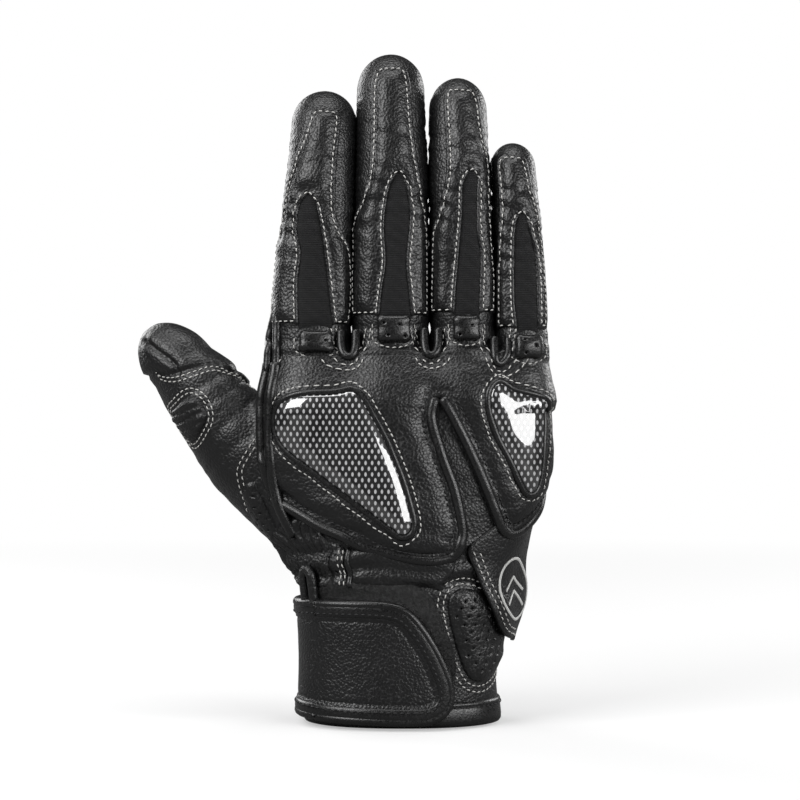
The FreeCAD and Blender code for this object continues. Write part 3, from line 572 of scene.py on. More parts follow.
def sheet(name, place, outline, height, material, grid=1.5, holes=(), under=None,
          rings=(0.14, 0.4, 0.8, 1.3)):
    """A panel laid on a shell: outline in unrolled (x, z), height from the distance to its edge.

    place gives world points and directions for (x, z). With under, the panel has a lower face too.
    """
    if np.sum(outline[:, 0] * np.roll(outline[:, 1], -1) - np.roll(outline[:, 0], -1) * outline[:, 1]) < 0:
        outline = outline[::-1]
    low, high = outline.min(0), outline.max(0)
    xs = np.arange(low[0], high[0], grid)
    ys = np.arange(low[1], high[1], grid * 0.866)
    gx, gy = np.meshgrid(xs, ys)
    gx = gx + (np.arange(len(ys)) % 2)[:, None] * grid / 2
    field = np.stack([gx.ravel(), gy.ravel()], 1)
    field = field[inside(field, outline)]
    d = edge_distance(field, outline)
    field = field[d > max(rings, default=0) + grid * 0.45]
    extra = [field]
    for ring in rings:
        moved = offset_curve(outline, ring)
        keep = edge_distance(moved, outline) > ring * 0.9
        extra.append(moved[keep])
    steiner = np.vstack(extra)
    edges = [(i, (i + 1) % len(outline)) for i in range(len(outline))]
    points = [outline]
    first = len(outline)
    turn = np.linspace(0, 2 * np.pi, 11)[:-1]
    for x, y, r in holes:
        ring = np.stack([x + r * np.cos(turn), y + r * np.sin(turn)], 1)
        points.append(ring)
        edges += [(first + i, first + (i + 1) % 10) for i in range(10)]
        first += 10
        steiner = steiner[np.hypot(steiner[:, 0] - x, steiner[:, 1] - y) > r + 0.3]
    points = np.vstack(points + [steiner])
    made = delaunay_2d_cdt([Vector(p) for p in points], edges, [], 1, 1e-5)
    flat = np.array([tuple(v) for v in made[0]])
    faces = [tuple(f) for f in made[2]]
    centres = np.array([flat[list(f)].mean(0) for f in faces])
    keep = inside(centres, outline)
    for x, y, r in holes:
        keep &= np.hypot(centres[:, 0] - x, centres[:, 1] - y) > r * 0.98
    faces = [f for f, k in zip(faces, keep) if k]
    area = [np.cross(flat[f[1]] - flat[f[0]], flat[f[2]] - flat[f[0]]) for f in faces]
    faces = [f if a > 0 else tuple(reversed(f)) for f, a in zip(faces, area)]
    d = edge_distance(flat, outline)
    p, n = place(flat[:, 0], flat[:, 1])
    verts = p + n * height(d, flat[:, 0], flat[:, 1])[:, None]
    if len(faces):
        f = faces[len(faces) // 2]
        up = np.cross(verts[f[1]] - verts[f[0]], verts[f[2]] - verts[f[0]]) @ n[f[0]]
        if up < 0:
            faces = [tuple(reversed(f)) for f in faces]
    used = {}
    for f in faces:
        for a, b in zip(f, f[1:] + f[:1]):
            used[(a, b)] = used.get((a, b), 0) + 1
    rim = [(a, b) for (a, b) in used if (b, a) not in used]
    if under is not None:
        base = len(verts)
        lower = p + n * under(d, flat[:, 0], flat[:, 1])[:, None]
        verts = np.vstack([verts, lower])
        faces += [tuple(base + i for i in reversed(f)) for f in list(faces)]
        faces += [(b, a, a + base, b + base) for a, b in rim]
    elif holes:
        for x, y, r in holes:
            near = [(a, b) for a, b in rim if np.hypot(*(flat[a] - (x, y))) < r * 1.2]
            if not near:
                continue
            base = len(verts)
            ids = [a for a, b in near]
            index = {a: base + i for i, a in enumerate(ids)}
            shift = verts[ids] - n[ids] * 1.3
            verts = np.vstack([verts, shift])
            for a, b in near:
                if a in index and b in index:
                    faces.append((b, a, index[a], index[b]))
            faces.append(tuple(reversed([index[a] for a in sort_loop(near)])))
    return add_mesh(name, verts, faces, material)


def sort_loop(edges):
    """The points of one closed loop of directed edges, in order."""
    step = dict(edges)
    first = edges[0][0]
    order, at = [first], step.get(first)
    while at is not None and at != first and len(order) < len(edges) + 1:
        order.append(at)
        at = step.get(at)
    return order


def cord(name, path, up, radius, material, sides=10, closed=False, flat=1.0):
    """A round cord along world points. up gives the outward direction at each point."""
    path = np.array(path, float)
    count = len(path)
    way = np.roll(path, -1, 0) - np.roll(path, 1, 0) if closed else np.gradient(path, axis=0)
    way /= np.maximum(np.linalg.norm(way, axis=1), 1e-9)[:, None]
    side = np.cross(way, up)
    side /= np.maximum(np.linalg.norm(side, axis=1), 1e-9)[:, None]
    top = np.cross(side, way)
    r = np.full(count, radius, float) if np.isscalar(radius) else np.array(radius, float)
    turn = np.linspace(0, 2 * np.pi, sides, endpoint=False)
    ring = (np.cos(turn)[None, :, None] * side[:, None, :]
            + np.sin(turn)[None, :, None] * top[:, None, :] * flat) * r[:, None, None]
    verts = (path[:, None, :] + ring).reshape(-1, 3)
    faces = grid_faces(count, sides)
    if closed:
        faces += [((count - 1) * sides + j, (count - 1) * sides + (j + 1) % sides, (j + 1) % sides, j)
                  for j in range(sides)]
    else:
        verts = np.vstack([verts, path[0] - way[0] * r[0] * 0.5, path[-1] + way[-1] * r[-1] * 0.5])
        a, b = len(verts) - 2, len(verts) - 1
        faces += [((j + 1) % sides, j, a) for j in range(sides)]
        faces += [((count - 1) * sides + j, (count - 1) * sides + (j + 1) % sides, b) for j in range(sides)]
    return add_mesh(name, verts, faces, material)


STITCH_SIDES = 6
STITCH_RINGS = 6


def stitch_solids(starts, ends, normals, radius=STITCH_RADIUS):
    """One small thread arch for each start and end."""
    count = len(starts)
    t = np.linspace(0, 1, STITCH_RINGS)
    way = ends - starts
    length = np.linalg.norm(way, axis=1)
    way = way / np.maximum(length, 1e-6)[:, None]
    side = np.cross(way, normals)
    side /= np.maximum(np.linalg.norm(side, axis=1), 1e-6)[:, None]
    top = np.cross(side, way)
    arch = 0.30 * (1 - (2 * t - 1) ** 4) - 0.12
    width = radius * np.sqrt(np.maximum(1 - (2 * t - 1) ** 6, 0.05))
    turn = np.linspace(0, 2 * np.pi, STITCH_SIDES, endpoint=False)
    forward = way[:, None, :] * (length[:, None] * t)[..., None]
    centre = starts[:, None, :] + forward + top[:, None, :] * arch[None, :, None]
    ring = (np.cos(turn)[None, None, :, None] * side[:, None, None, :] * 1.1
            + np.sin(turn)[None, None, :, None] * top[:, None, None, :] * 0.9)
    verts = (centre[:, :, None, :] + ring * width[None, :, None, None]).reshape(-1, 3)
    one = grid_faces(STITCH_RINGS, STITCH_SIDES)
    one.append(tuple(reversed(range(STITCH_SIDES))))
    one.append(tuple(range((STITCH_RINGS - 1) * STITCH_SIDES, STITCH_RINGS * STITCH_SIDES)))
    size = STITCH_RINGS * STITCH_SIDES
    faces = [tuple(i * size + v for v in f) for i in range(count) for f in one]
    return verts, faces


def stitches(name, place, lines, height, material, pitch=STITCH_PITCH, length=STITCH_LENGTH,
             radius=STITCH_RADIUS,
             slant=0.10):
    """Rows of stitches along lines of unrolled (x, z) points, at a height over the shell."""
    all_verts, all_faces, base = [], [], 0
    for line in lines:
        line = np.array(line, float)
        run = np.concatenate([[0], np.cumsum(np.linalg.norm(np.diff(line, axis=0), axis=1))])
        count = int(run[-1] // pitch)
        if count < 1:
            continue
        at = (np.arange(count) + 0.5) * run[-1] / count
        jitter = RANDOM.uniform(-0.07, 0.07, count)
        along = [np.stack([np.interp(at + jitter + s * length / 2, run, line[:, k]) for k in (0, 1)],
                          1) for s in (-1, 1)]
        way = along[1] - along[0]
        way /= np.maximum(np.linalg.norm(way, axis=1), 1e-6)[:, None]
        sideways = np.stack([-way[:, 1], way[:, 0]], 1) * slant
        a, na = place(*(along[0] - sideways).T)
        b, nb = place(*(along[1] + sideways).T)
        up = na + nb
        up /= np.linalg.norm(up, axis=1)[:, None]
        rise = height((along[0] + along[1]) / 2) if callable(height) else height
        rise = np.reshape(rise, (-1, 1)) if np.ndim(rise) else rise
        verts, faces = stitch_solids(a + up * rise, b + up * rise, up, radius)
        all_verts.append(verts)
        all_faces += [tuple(base + i for i in f) for f in faces]
        base += len(verts)
    return add_mesh(name, np.vstack(all_verts), all_faces, material)


# ------------------------------------------------------------------ materials


class Surface:
    """A node material under construction, its textures laid out in the object's own space."""

    def __init__(self, name):
        self.material = bpy.data.materials.new(name)
        self.material.use_nodes = True
        self.nodes = self.material.node_tree.nodes
        self.links = self.material.node_tree.links
        self.shader = self.nodes["Principled BSDF"]
        self.place = self.nodes.new("ShaderNodeTexCoord").outputs["Object"]

    def fill(self, node, inputs):
        """Links the inputs whose value is a socket and sets the others."""
        for key, value in inputs.items():
            if isinstance(value, bpy.types.NodeSocket):
                self.links.new(value, node.inputs[key])
            else:
                node.inputs[key].default_value = value
        return node

    def add(self, kind, inputs, **settings):
        node = self.nodes.new("ShaderNode" + kind)
        for key, value in settings.items():
            setattr(node, key, value)
        return self.fill(node, inputs)

    def maths(self, operation, *values):
        return self.add("Math", dict(enumerate(values)), operation=operation).outputs[0]

    def noise(self, scale, detail=2, roughness=0.5):
        return self.add("TexNoise", {
            "Vector": self.place, "Scale": scale, "Detail": detail, "Roughness": roughness}).outputs

    def axes(self):
        return self.add("SeparateXYZ", {0: self.place}).outputs

    def relief(self, height, distance, strength):
        bump = self.add("Bump", {"Height": height, "Distance": distance, "Strength": strength})
        self.finish({"Normal": bump.outputs[0]})

    def tint(self, factor, colour, dark, light, low=0.0, high=1.0):
        """Base colour from dark to light times a colour, as a factor runs from low to high."""
        ramp = self.add("ValToRGB", {0: factor})
        for element, share, position in zip(ramp.color_ramp.elements, (dark, light), (low, high)):
            element.color = (*[c * share for c in colour], 1)
            element.position = position
        self.finish({"Base Color": ramp.outputs[0]})

    def finish(self, inputs):
        """Sets the shader's inputs and gives the material."""
        self.fill(self.shader, inputs)
        return self.material


def leather(name, colour, rough, grain, bump, sheen=0.0, pores=0.35, worn=1.2):
    """Grained leather: domed pebbles, fine pores, and broad patches where it is smoother and lighter.

    grain is the number of pebbles per metre; bump is the relief in mm.
    """
    surface = Surface(name)
    shifted = surface.add("VectorMath", {
        0: surface.noise(grain * 0.4)["Color"], 1: (0.45 / grain,) * 3, 2: surface.place},
        operation="MULTIPLY_ADD")
    away = surface.add("TexVoronoi", {"Vector": shifted.outputs[0], "Scale": grain}).outputs["Distance"]
    pebble = surface.maths("MULTIPLY_ADD", surface.maths("MULTIPLY", away, away), -1.5, 1.0)
    fine = surface.noise(grain * 2.2, 3)["Fac"]
    broad = surface.noise(60, 6)["Fac"]
    height = surface.maths("ADD", pebble, surface.maths("MULTIPLY", fine, pores))
    surface.relief(height, bump * MM, surface.maths("MULTIPLY_ADD", broad, worn, 0.75 - 0.5 * worn))
    surface.tint(broad, colour, 0.7, 1.5, 0.35, 0.75)
    return surface.finish({
        "Roughness": surface.maths("MULTIPLY_ADD", pebble, -0.22, rough + 0.16),
        "Specular IOR Level": 0.6, "Sheen Weight": sheen, "Sheen Roughness": 0.5})


def knit(name, colour, pitch):
    """Stretch knit: fine ribs crossed by loops, pitch in mm."""
    surface = Surface(name)
    x, y, z = surface.axes()
    turns = TURN / (pitch * MM)
    ribs = surface.maths("SINE", surface.maths("MULTIPLY", x, turns))
    climb = surface.maths("MULTIPLY", z, turns * 0.8)
    loops = surface.maths("SINE", surface.maths("ADD", climb, surface.maths("MULTIPLY", ribs, 0.9)))
    surface.relief(surface.maths("ADD", surface.maths("ABSOLUTE", ribs), loops), 0.3 * MM, 0.55)
    surface.tint(surface.noise(900)["Fac"], colour, 0.6, 1.5)
    return surface.finish({"Roughness": 0.9, "Specular IOR Level": 0.2, "Sheen Weight": 0.15})


def fuzz(name, colour):
    """Hook-and-loop pile: a dense dark nap."""
    surface = Surface(name)
    nap = surface.noise(800, 6, 0.8)["Fac"]
    surface.relief(nap, 1.2 * MM, 1.0)
    surface.tint(nap, colour, 0.2, 3.0, 0.45, 0.65)
    return surface.finish({"Roughness": 0.5})


def thread(name, colour):
    """Twisted sewing thread."""
    surface = Surface(name)
    twist = surface.noise(4200)["Fac"]
    surface.tint(twist, colour, 0.62, 1.0)
    surface.relief(twist, 0.1 * MM, 0.5)
    return surface.finish({"Roughness": 0.6})


def carbon(name, tow_wide, tow_high):
    """Woven carbon under a clear coat: every other place of the weave gets a painted highlight, a light oval
    in the base colour where a tow would catch the light.
    """
    surface = Surface(name)
    x, y, z = surface.axes()
    u = surface.maths("DIVIDE", x, tow_wide * MM)
    v = surface.maths("DIVIDE", z, tow_high * MM)
    places = surface.maths("ADD", surface.maths("FLOOR", u), surface.maths("FLOOR", v))
    other = surface.maths("PINGPONG", places, 1)
    offsets = [surface.maths("SUBTRACT", surface.maths("FRACT", axis), 0.5) for axis in (u, v)]
    squares = [surface.maths("MULTIPLY", offset, offset) for offset in offsets]
    away = surface.maths("SQRT", surface.maths("ADD", *squares))
    spot = surface.add("MapRange", {"Value": away, "From Min": 0.44, "From Max": 0.30},
                       interpolation_type="SMOOTHSTEP")
    # painted highlight: a light oval in the base colour on every other tow, standing in for its reflection
    painted_tow_highlight = surface.maths("MULTIPLY", other, spot.outputs[0])
    # the pale grey is the painted highlight's colour, the near black is the carbon's own
    shade = surface.add("MixRGB", {0: painted_tow_highlight, 1: (0.004, 0.004, 0.0045, 1), 2: (0.6, 0.6, 0.61, 1)})
    return surface.finish({"Base Color": shade.outputs[0], "Roughness": 0.42, "Coat Weight": 1.0,
                           "Coat IOR": 2.2, "Coat Roughness": 0.03})


def printed(name, colour, rough):
    """A matt raised print with a little mottling."""
    surface = Surface(name)
    surface.tint(surface.noise(1600)["Fac"], colour, 0.8, 1.0)
    return surface.finish({"Roughness": rough})


SOFT = leather("soft_leather", (0.006, 0.006, 0.0063), 0.36, 950, 0.19, pores=0.15, worn=0.9)
PANEL = leather("panel_leather", (0.006, 0.006, 0.0063), 0.34, 950, 0.17, pores=0.15, worn=0.9)
COARSE = leather("coarse_leather", (0.007, 0.007, 0.0073), 0.33, 1000, 0.21, pores=0.05, worn=0.3)
TRIM = leather("smooth_trim", (0.006, 0.006, 0.0062), 0.30, 1300, 0.04)
SUEDE = leather("palm_suede", (0.02, 0.02, 0.021), 0.72, 1300, 0.12, sheen=0.25)
KNIT = knit("stretch_knit", (0.013, 0.013, 0.0135), pitch=0.55)
LINING = knit("lining", (0.03, 0.03, 0.032), pitch=1.6)
PILE = fuzz("hook_and_loop", (0.014, 0.014, 0.014))
WHITE_THREAD = thread("white_thread", (0.82, 0.81, 0.78))
BLACK_THREAD = thread("black_thread", (0.02, 0.02, 0.021))
CARBON = carbon("carbon_shell", 1.2, 2.1)
PRINT = printed("white_print", (0.72, 0.72, 0.7), 0.55)

# ------------------------------------------------------------------ helpers to seat pieces


def stand_for(nodes):
    """Hides the CAD nodes that the piece stands for."""
    if nodes:
        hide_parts(*nodes)


def on_hand(obj, slot, *nodes):
    stand_for(nodes)
    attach(obj, "hand")


def at_knuckle(obj, finger, slot, *nodes):
    """For pieces over a finger's knuckle: hides the CAD nodes that the piece stands for and bakes its
    transform into its mesh.
    """
    stand_for(nodes)
    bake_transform(obj)


def at_bend(obj, finger, slot, *nodes):
    """For pieces over a finger's middle joint: hides the CAD nodes that the piece stands for and bakes its
    transform into its mesh.
    """
    stand_for(nodes)
    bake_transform(obj)


def on_thumb(obj, joint, *nodes):
    """For pieces on the thumb: hides the CAD nodes that the piece stands for and bakes its transform into its
    mesh.
    """
    stand_for(nodes)
    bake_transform(obj)


def on_strap(obj, slot, *nodes):
    """For the strap's pieces: hides the CAD nodes that the piece stands for and bakes its transform into its
    mesh.
    """
    stand_for(nodes)
    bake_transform(obj)


def on_tab(obj, slot, *nodes):
    stand_for(nodes)
    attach(obj, "side_tab")


def lift(amount):
    return lambda d, x, z: np.full(len(d), float(amount))


# ------------------------------------------------------------------ hand and finger skins


def hand_skin():
    heights = np.concatenate([np.arange(0.6, 46, 1.6), np.arange(46, 137.2, 0.85), [137.2]])
    skin = tube_skin("hand_skin", HAND, heights, 380, SOFT, close_top=True)
    on_hand(skin, "soft_leather", "palm_panel", "wrist_back_panel", "back_panel", "pad_foams")
    inner = tube_skin("hand_lining_skin", HAND, np.arange(1.5, 132, 2.5), 160, LINING, lift=-2.4,
                      close_top=True, inward=True)
    on_hand(inner, "lining", "hand_lining")


def finger_skins(name):
    shell = FINGER[name]
    start, height = DOMES[name]
    split = (KNUCKLE_Z[name] + 11 + BEND_Z[name] - 9) / 2
    lower_z = np.concatenate([np.arange(136.6, split, 0.75), [split]])
    lower = tube_skin(f"{name}_lower_skin", shell, lower_z, 130, SOFT)
    at_knuckle(lower, name, "soft_leather", f"{name}_side_walls", f"{name}_palm_face")
    dome = start + height * np.sin(np.radians(np.linspace(0, 88, 14)))
    upper_z = np.concatenate([np.arange(split, start - 0.4, 0.75), dome])
    upper = tube_skin(f"{name}_upper_skin", shell, upper_z, 130, SOFT, close_top=True)
    at_bend(upper, name, "soft_leather", f"{name}_fingertip_cap")
    for side in (-1, 1):
        for part, low, high, seat in (("lower", 138, split, at_knuckle),
                                      ("upper", split, start + 5, at_bend)):
            z = np.arange(low, high + 0.1, 1.5)
            u = shell.x(z) + side * (shell.half(z) * 0.5 + 3.4)
            line = np.stack([u, z], 1)
            edge = "left" if side < 0 else "right"
            seam = cord(f"{name}_{part}_{edge}_seam", *on_surface(shell.surface, line, 0), 0.75, TRIM,
                        sides=8)
            seat(seam, name, "soft_leather")
            line[:, 0] += side * 1.7
            dark = stitches(f"{name}_{part}_{edge}_seam_stitches", shell.surface, [line], 0.05, BLACK_THREAD,
                            radius=0.24)
            seat(dark, name, "soft_leather")


def on_surface(place, line, height):
    """World points of a line laid on a shell, raised by a height, and the outward directions there."""
    p, n = place(*np.array(line, float).T)
    return p + n * height, n


# ------------------------------------------------------------------ finger overlays

# Points as seen from the back (x, z): the overlay's two sides from tip to foot and foot to tip, the
# stretch strip's two sides, the vent tab's centre and half sizes, and its holes
OVERLAY = {
    "index": {
        "left": [(-31, 231), (-33.8, 229.4), (-36.2, 221), (-38.8, 214), (-40.6, 207), (-42.4, 199),
                 (-44.4, 186),
                 (-46.6, 174), (-47.4, 160), (-47.8, 148.2)],
        "right": [(-19.6, 148.2), (-18.8, 160), (-18.8, 172), (-19.6, 179), (-23.4, 188), (-24.2, 198),
                  (-23.8, 208),
                  (-23, 218), (-22.4, 227.6), (-24.2, 230.8)],
        "insert_left": [(-37.6, 148.2), (-38, 164), (-36.8, 176), (-38.2, 184), (-37.4, 193), (-34.6, 197.4)],
        "insert_right": [(-31.6, 193.6), (-29.8, 184), (-28, 171), (-26.6, 158), (-25.4, 148.2)],
        "vent": (-31.5, 142.4, 6.2, 4.4), "vent_holes": [(-33.8, 142.2), (-28.4, 142.6)],
    },
    "middle": {
        "left": [(-6.6, 247.2), (-9.6, 245.4), (-10.8, 238), (-11, 224), (-11.4, 210.5), (-13, 200.6),
                 (-16.8, 188),
                 (-17.2, 176), (-17.6, 162), (-17.6, 151.4)],
        "right": [(9.9, 151.4), (10, 162), (9.9, 176), (9.6, 187), (8.4, 198), (6.6, 209), (4.9, 222.5),
                  (3.8, 238),
                  (2.9, 245.4), (0.4, 247.2)],
        "insert_left": [(-7.6, 151.4), (-6.4, 162), (-5, 172.5), (-5.6, 186), (-4, 199), (-0.9, 205.6)],
        "insert_right": [(2.2, 200), (3.4, 189.7), (2, 173), (2.8, 162), (3.8, 151.4)],
        "vent": (-2.4, 147.2, 6.3, 5.5), "vent_holes": [(-5.8, 149.6), (-0.6, 148.8), (-4.2, 144.8),
                                                        (1.2, 144.4)],
    },
    "ring": {
        "left": [(19.4, 239.2), (16.6, 237.2), (16.8, 226), (17.2, 216), (17.2, 205), (14.6, 192),
                 (12.6, 183),
                 (12.3, 168), (12.2, 152.4)],
        "right": [(35, 152.4), (35, 165), (34.2, 178), (33.6, 191), (33, 210), (30.8, 222), (29.2, 236),
                  (26.4, 239.2)],
        "insert_left": [(20.6, 152.4), (21.4, 165.5), (23.3, 188), (23.8, 201), (26.2, 206.4)],
        "insert_right": [(28.7, 202), (28.4, 185), (29.8, 175), (29.4, 162), (29.2, 152.4)],
        "vent": (24.8, 147.5, 5.1, 5.0), "vent_holes": [(26.4, 148.6), (22.6, 145)],
    },
    "little": {
        "left": [(39.8, 213.8), (36.8, 211.4), (37.2, 200.6), (37.6, 191), (37, 181), (36.8, 168),
                 (36.8, 157),
                 (36.8, 146.8)],
        "right": [(54.8, 146.8), (54.6, 158), (54, 168), (53.4, 178), (51.6, 192), (49.4, 201), (47.4, 211.4),
                  (44.6, 213.8)],
        "insert_left": [(44.2, 146.8), (43.2, 158), (43.1, 172), (43.5, 185), (45, 190.6)],
        "insert_right": [(47.8, 186), (50, 177), (50.8, 168), (51, 158), (51.3, 146.8)],
        "vent": (47.9, 140.6, 4.9, 4.8), "vent_holes": [(46.4, 143), (49.8, 140.8), (46.6, 138.2)],
    },
}
OVERLAY_THICK = 1.35


def rounded_box(cx, cz, half_x, half_z, corner=1.6):
    out = []
    for sx, sz, start in ((1, 1, 0), (-1, 1, 90), (-1, -1, 180), (1, -1, 270)):
        for angle in np.radians(np.linspace(start, start + 90, 5)):
            out.append((cx + sx * (half_x - corner) + corner * math.cos(angle),
                        cz + sz * (half_z - corner) + corner * math.sin(angle)))
    return np.array(out)


def inner_line(line, outline, distance):
    """A line moved to the inner side of an outline, keeping only what stays that far from its edge."""
    for sign in (1, -1):
        moved = offset_curve(line, sign * distance, closed=False)
        ok = inside(moved, outline) & (edge_distance(moved, outline) > distance * 0.93)
        if ok.mean() > 0.4:
            return moved[ok]
    return line


def offset_outward(outline, distance):
    moved = offset_curve(outline, distance)
    if inside(moved[:1], outline)[0]:
        moved = offset_curve(outline, -distance)
    return moved


def closed_row(outline):
    return np.vstack([outline, outline[:1]])


def finger_overlays(name):
    """A puffed tuning fork of leather round a stretch strip, double-stitched, over a small vent tab."""
    shell, spec = FINGER[name], OVERLAY[name]
    place, bend = shell.surface, BEND_Z[name]
    left, right, inner_left, inner_right = (
        shell.flat(curve(spec[key], closed=False)) for key in ("left", "right", "insert_left",
                                                               "insert_right"))
    outline = np.vstack([left, inner_left, inner_right, right])
    tip = right[-1, 1]

    def folds(x, z):
        """Creases that gather round the middle bend and just below the tip."""
        near = np.exp(-((z - bend - 2) / 13) ** 2) + 0.55 * np.exp(-((z - (bend + tip) / 2 - 4) / 7) ** 2)
        wave = np.sin(0.85 * z + 1.5 * np.sin(0.32 * x + 0.1 * z) + 0.25 * x)
        return near * np.sign(wave) * np.abs(wave) ** 0.8

    def height(d, x, z):
        p = np.stack([x, np.zeros(len(x)), z], 1)
        puff = 0.75 * smooth_step(2.3, 6, d)
        groove = 0.45 * np.exp(-((d - 2.1) / 0.6) ** 2)
        return shoulder(d, OVERLAY_THICK) + (
            puff - groove + 0.34 * folds(x, z) + 0.22 * ripple(p * 1.7)) * smooth_step(0, 1.5, d)

    overlay = sheet(f"{name}_overlay", place, outline, height, PANEL, grid=1.15)
    at_bend(overlay, name, "soft_leather", f"{name}_base_overlay", f"{name}_tip_overlay")

    strip = offset_outward(np.vstack([inner_left, inner_right]), 1.0)
    insert = sheet(f"{name}_insert", place, strip,
                   lambda d, x, z: 0.15 + 0.6 * smooth_step(0, 3.5, d) + 0.10 * np.sin(z * 1.3 + x), KNIT,
                   grid=1.2,
                   rings=(0.6,))
    at_bend(insert, name, "stretch_knit", f"{name}_stretch_insert")

    around = inner_line(np.vstack([left[::-1], right[::-1]]), outline, 2.1)
    rim = inner_line(np.vstack([inner_left, inner_right]), outline, 1.3)
    feet = [
        np.array([left[-1] + (1.6, 1.9), inner_left[0] + (-1.3, 1.9)]),
        np.array([inner_right[-1] + (1.3, 1.9), right[0] + (-1.6, 1.9)]),
    ]

    def row_height(middle):
        return OVERLAY_THICK + 0.02 + 0.34 * folds(middle[:, 0], middle[:, 1]) * 0.9

    rows = stitches(f"{name}_overlay_stitches", place, [around, rim] + feet, row_height, WHITE_THREAD)
    at_bend(rows, name, "soft_leather")

    cx, cz, half_x, half_z = spec["vent"]
    tab = sheet(f"{name}_vent", place, shell.flat(rounded_box(cx, cz, half_x, half_z, 2.2)),
                lambda d, x, z: shoulder(d, 1.3, run=1.2) + 1.5 * np.sqrt(1 - np.clip(1 - d / 4.6, 0,
                        1) ** 2), TRIM,
                grid=0.8,
                holes=[(x, z, 0.5) for x, z in shell.flat(spec["vent_holes"])], rings=(0.2, 0.6))
    at_knuckle(tab, name, "soft_leather", f"{name}_vent_tab")
    low = cz - half_z - 1.4
    cup = curve([(cx - half_x - 1.6, cz + half_z * 0.4), (cx - half_x - 1.2, low + 2.6),
                 (cx - half_x * 0.5, low + 0.2),
                 (cx, low - 0.2), (cx + half_x * 0.5, low + 0.2), (cx + half_x + 1.2, low + 2.6),
                 (cx + half_x + 1.6, cz + half_z * 0.4)], closed=False)
    ring = stitches(f"{name}_vent_stitches", place, [shell.flat(cup)], 0.15, WHITE_THREAD)
    at_knuckle(ring, name, "soft_leather")


# ------------------------------------------------------------------ back panel, pipings, guards

LEFT_LOBE = [
    (-46.6, 83.6), (-43.4, 82.2), (-39.6, 80.5), (-31, 75.6), (-23.6, 71.9), (-9.4, 65.5), (2, 62),
    (11.9, 61),
    (18.4, 63.2), (21.7, 68.4), (21.9, 75), (19.3, 87.7), (14.9, 100.3), (11.3, 113.2), (12.3, 120.8),
]
RIGHT_LOBE = [
    (15.4, 120.8), (17.8, 117), (23.8, 104.6), (29.7, 91.1), (33.8, 80.5), (36.8, 73.2), (39.7, 71.4),
    (43, 72.2),
    (45.6, 74.2),
]
LEFT_ROLLS = (
    [(-47.0, 88), (-48.2, 94), (-49.1, 103), (-49.4, 114), (-49.0, 124), (-48.6, 134)],
    [(-38.8, 70.5), (-41.4, 77), (-44.0, 85), (-45.5, 94), (-46.2, 104), (-46.1, 114), (-45.7, 124),
     (-45.5, 134)],
)
PANEL_THICK = 2.2
GUARD_LARGE = [
    (-43.1, 112), (-41, 117), (-37.5, 120.2), (-31, 122.4), (-22.6, 122.8), (-17, 123.8), (-13, 121.4),
    (-9.4, 114.6), (-5.4, 106), (-2.2, 98.2), (0.6, 91), (3, 83), (4.6, 76), (3.8, 71.8), (0.6, 70.6),
    (-3, 73),
    (-16.5, 83.3), (-30.7, 94.4), (-39, 101), (-42.6, 106),
]
GUARD_SMALL = [
    (29.7, 122.4), (31.6, 126), (35, 126.4), (40.4, 124), (46, 122), (50, 120), (51.2, 114.6), (51, 104),
    (50.3, 94.7), (48.6, 88), (45.6, 86.4), (43.2, 90.5), (40.2, 97.8), (35, 108), (30.8, 116.6),
]
CROTCHES = ((-18.3, 138), (11.3, 138.6), (36, 135.4))


def panel_fade(x, z):
    """How much of the back panel's thickness is left: none at its top and outer edges."""
    return smooth_step(138.5, 119, z) * smooth_step(72, 64, x)


def panel_rise(x, z, edge):
    p = np.stack([x, np.zeros(len(x)), z], 1)
    return PANEL_THICK + 1.2 * smooth_step(2, 9, edge) + 0.3 * ripple(p * 1.4)


